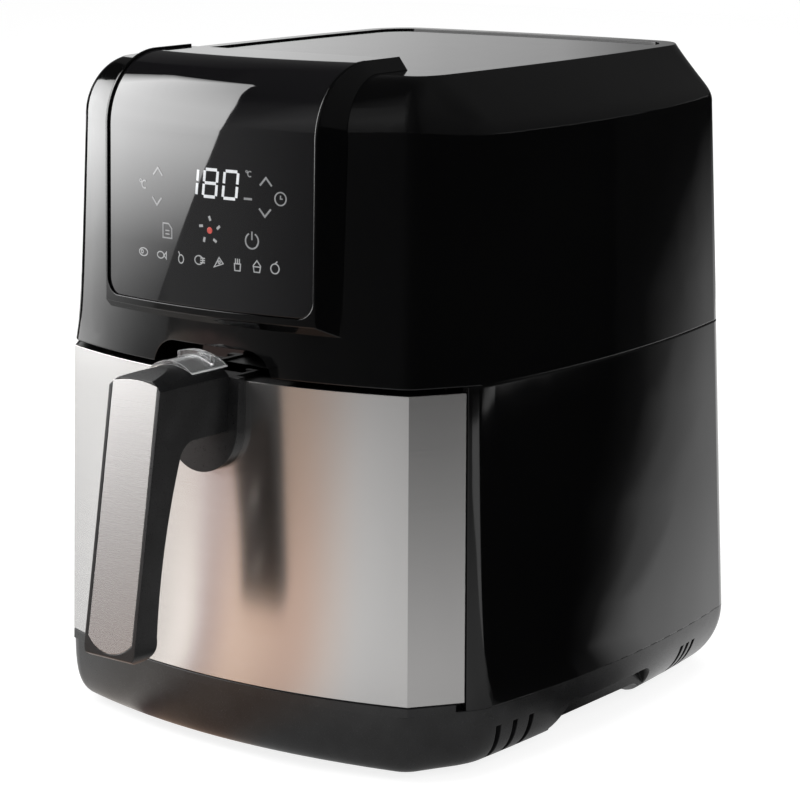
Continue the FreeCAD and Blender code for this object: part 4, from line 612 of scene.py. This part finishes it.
def softboxes(material):
    """Tall box at the left, dim at its foot and its left edge, whose right edge crosses the panel."""
    left = ((0.05, 93.0), (0.197, 97.0), (0.97, 97.0), (1.34, 79.0))
    edge = ((0.05, 0.3), (0.1, 1.0), (0.163, 2.2), (0.235, 5.3), (0.4, 6.2), (0.56, 4.5), (0.67, 2.0),
            (0.82, 1.0))
    inner = ((0.05, 0.3), (0.1, 1.1), (0.163, 3.0), (0.235, 6.4), (0.4, 6.8), (0.67, 6.3), (0.97, 5.0),
             (1.34, 2.7))
    far = ((0.05, 0.2), (0.13, 0.5), (0.163, 0.85), (0.197, 2.5), (0.235, 4.3), (0.4, 5.0), (0.67, 5.0),
           (1.34, 3.0))
    rows = []
    for i in range(SOFTBOX_ROWS + 1):
        height = SOFTBOX_FOOT + (SOFTBOX_TOP - SOFTBOX_FOOT) * i / SOFTBOX_ROWS
        start = at_height(left, height)
        row = [(from_lens(start, height), grey(at_height(edge, height)))]
        for t in (0, 0.25, 0.5, 0.75, 1):
            turned = start + (softbox_edge(height) - start) * (0.2 + 0.8 * t)
            glow = at_height(inner, height) * (1 - t) + at_height(far, height) * t
            row.append((from_lens(turned, height), grey(glow)))
        rows.append(row)
    studio_card("softbox", rows, material)


def wall(name, rows, material):
    """Card standing on the flags' circle, from rows of (height, ((bearing, shade), ...))."""
    sheet = []
    for height, stops in rows:
        sheet.append([(bearing(b, FLAG_RADIUS, height), grey(shade)) for b, shade in stops])
    studio_card(name, sheet, material)


def flags(material):
    """Dark walls round the front and the right that keep the gloss black."""
    front = ((112, 0.02), (95, 0.02), (75, 0.02), (58, 0.02), (45, 0.26), (30, 0.21), (14, 0.08), (0, 0.05),
             (-20, 0.03), (-32, 0.01))
    wall("front_flag", ((FLAG_FOOT, front), (FLAG_SPLIT, front)), material)
    right = ((-31, 0.01), (-60, 0.0), (-95, 0.0), (-120, 0.0), (-141, 0.0))
    wall("right_flag", ((0.0, right), (FLAG_SPLIT, right)), material)


def upper_flag(material):
    """Dark wall above the others, with a soft glow over the front and dim light from behind."""
    turns = (112, 60, 30, 12, -8, -24, -50, -70, -100, -150, -180, -200, -220, -249)
    lower = (0.02, 0.02, 0.22, 0.15, 0.2, 0.05, 0.02, 0.07, 0.1, 0.1, 0.08, 0.08, 0.07, 0.06)
    middle = (0.01, 0.01, 0.1, 0.3, 0.36, 0.08, 0.03, 0.07, 0.1, 0.1, 0.08, 0.08, 0.06, 0.05)
    upper = (0.01, 0.01, 0.02, 0.22, 0.22, 0.05, 0.03, 0.07, 0.1, 0.1, 0.08, 0.06, 0.03, 0.01)
    rows = ((FLAG_SPLIT, zip(turns, lower)), (FLAG_MIDDLE, zip(turns, middle)),
            (FLAG_HEIGHT, zip(turns, upper)))
    wall("upper_flag", rows, material)


def back_cards(material):
    """Pale cards behind the object at both sides, the right one fading upwards."""
    left = ((111, 0.9), (136, 0.86), (140, 0.72), (144, 0.58), (149, 0.49), (152, 0.29), (156, 0.2),
            (175, 0.12))
    wall("left_back_card", ((0.0, left), (FLAG_SPLIT, left)), material)
    turns = (-140, -147, -156, -164, -176, -186)
    dark = [0.01] * len(turns)
    levels = ((0.0, (0.01, 0.03, 0.24, 0.52, 0.7, 0.7)), (0.04, (0.01, 0.02, 0.17, 0.45, 0.6, 0.6)),
              (0.11, (0.01, 0.01, 0.02, 0.2, 0.25, 0.25)), (0.18, dark), (FLAG_SPLIT, dark))
    rows = [(height, zip(turns, shades)) for height, shades in levels]
    wall("right_back_card", rows, material)


def overhead_flag(material):
    """Dark sheet overhead, a little lighter round its rim."""
    stops = ((-180, 0.08), (-150, 0.1), (-120, 0.1), (-90, 0.1), (-60, 0.05), (-30, 0.05), (0, 0.22),
             (30, 0.02), (60, 0.02), (90, 0.02), (120, 0.02), (150, 0.05), (180, 0.08))
    centre = [(bearing(b, 0.0, OVERHEAD_HEIGHT), grey(0.02)) for b, _ in stops]
    rim = [(bearing(b, OVERHEAD_RADIUS, OVERHEAD_HEIGHT), grey(shade)) for b, shade in stops]
    studio_card("overhead_flag", [centre, rim], material)


def floor_card(name, rows, material):
    """Card lying just above the floor, from rows of (distance, ((bearing, colour), ...))."""
    sheet = []
    for distance, stops in rows:
        sheet.append([(bearing(b, distance, CARD_LIFT), colour) for b, colour in stops])
    studio_card(name, sheet, material)


def front_floor(material):
    """Floor seen in the steel: white at the left, warm boards in the middle, grey at the right."""
    white, cream, peach = grey(0.92), (1.05, 0.98, 0.92), (0.8, 0.66, 0.58)
    pale_peach, rose, tan = (1.45, 1.36, 1.28), (0.62, 0.46, 0.43), (1.1, 0.79, 0.62)
    dusk, sand, oak = (0.36, 0.28, 0.27), (0.62, 0.5, 0.42), (0.6, 0.4, 0.29)
    amber, shell, clay = (0.95, 0.67, 0.54), (1.0, 0.86, 0.78), (0.68, 0.57, 0.5)
    stops = ((110, white, white, white), (74, white, white, white), (68, white, grey(0.95), grey(1.05)),
             (50, cream, cream, cream), (44, pale_peach, peach, peach), (39, rose, rose, rose),
             (33, tan, rose, rose), (27, tan, dusk, dusk), (21, amber, oak, sand), (17, amber, oak, sand),
             (11, shell, clay, (0.74, 0.67, 0.63)), (5, grey(0.9), grey(0.76), grey(0.8)),
             (-2, grey(0.82), grey(0.65), grey(0.74)), (-25, grey(0.7), grey(0.52), grey(0.5)),
             (-55, grey(0.55), grey(0.31), grey(0.2)), (-70, grey(0.55), grey(0.31), grey(0.18)))
    reach = ((0.12, 16, 0), (0.2, 16, 0), (0.31, 14, 0), (0.47, 8, 0), (0.8, 3, 1), (1.3, 0, 2),
             (1.7, -2, 2))
    rows = []
    for distance, turn, tone in reach:
        row = []
        for start, *tones in stops:
            close = SHADE_LEFT if start > SHADE_TURN else SHADE_FRONT
            shade = close if distance < SHADE_REACH else 1.0
            row.append((start - turn, tuple(level * shade for level in tones[tone])))
        rows.append((distance, row))
    floor_card("front_floor_card", rows, material)


def side_floor(material):
    """Floor seen in the right side: dark in front, pale behind, on a slanting line."""
    rows = ((0.1, ((-79, 0.05), (-92, 0.2), (-100, 0.4), (-110, 0.8), (-118, 1.05), (-145, 1.15))),
            (0.25, ((-82, 0.0), (-108, 0.0), (-113, 0.04), (-118, 0.55), (-126, 1.04), (-150, 1.15))),
            (0.32, ((-82, 0.0), (-116, 0.0), (-122, 0.07), (-126.5, 0.45), (-132, 0.94), (-155, 1.1))),
            (0.55, ((-82, 0.0), (-128, 0.0), (-135, 0.05), (-141, 0.41), (-149, 0.7), (-162, 0.85))),
            (0.88, ((-82, 0.0), (-138, 0.0), (-145, 0.04), (-152, 0.4), (-160, 0.66), (-172, 0.8))),
            (1.24, ((-82, 0.0), (-142, 0.0), (-147, 0.03), (-156, 0.24), (-164, 0.52), (-176, 0.7))))
    greys = [(distance, [(b, grey(shade)) for b, shade in stops]) for distance, stops in rows]
    floor_card("side_floor_card", greys, material)


def area_lamp(name, place, aim, size, power):
    lamp = bpy.data.lights.new(name, "AREA")
    lamp.shape = "RECTANGLE"
    lamp.size, lamp.size_y = size
    lamp.energy = power
    obj = bpy.data.objects.new(name, lamp)
    bpy.context.scene.collection.objects.link(obj)
    obj.location = place
    obj.rotation_euler = (Vector(aim) - Vector(place)).to_track_quat("-Z", "Y").to_euler()
    obj.visible_glossy = False


def lamps():
    area_lamp("key_lamp", (-1.1, -1.2, 1.7), (0, 0, 0.15), (1.2, 1.2), 26)
    area_lamp("top_lamp", (0.1, 0.3, 1.9), (0, 0, 0.1), (1.6, 1.6), 18)
    area_lamp("fill_lamp", (1.5, -0.6, 0.9), (0, 0, 0.15), (1.0, 1.0), 8)


def camera():
    data = bpy.data.cameras.new("camera")
    data.sensor_width = SENSOR_WIDTH
    data.lens = SENSOR_WIDTH * FOCAL_PIXELS / IMAGE_SIZE
    obj = bpy.data.objects.new("camera", data)
    bpy.context.scene.collection.objects.link(obj)
    level = math.cos(CAMERA_ELEVATION)
    back = Vector((math.sin(CAMERA_AZIMUTH) * level, -math.cos(CAMERA_AZIMUTH) * level,
                   math.sin(CAMERA_ELEVATION)))
    right = Vector((math.cos(CAMERA_AZIMUTH), math.sin(CAMERA_AZIMUTH), 0))
    up = back.cross(right)
    rolled_right = right * math.cos(CAMERA_ROLL) + up * math.sin(CAMERA_ROLL)
    rolled_up = up * math.cos(CAMERA_ROLL) - right * math.sin(CAMERA_ROLL)
    turn = Matrix((rolled_right, rolled_up, back)).transposed()
    obj.matrix_world = Matrix.Translation(CAMERA_PLACE) @ turn.to_4x4()
    bpy.context.scene.camera = obj


def studio():
    material = card_material()
    floor()
    world()
    softboxes(material)
    flags(material)
    upper_flag(material)
    back_cards(material)
    overhead_flag(material)
    front_floor(material)
    side_floor(material)
    lamps()
    camera()
    bpy.context.scene.view_settings.view_transform = "Standard"


dress_nodes(finishes())
touch_panel_print()
studio()
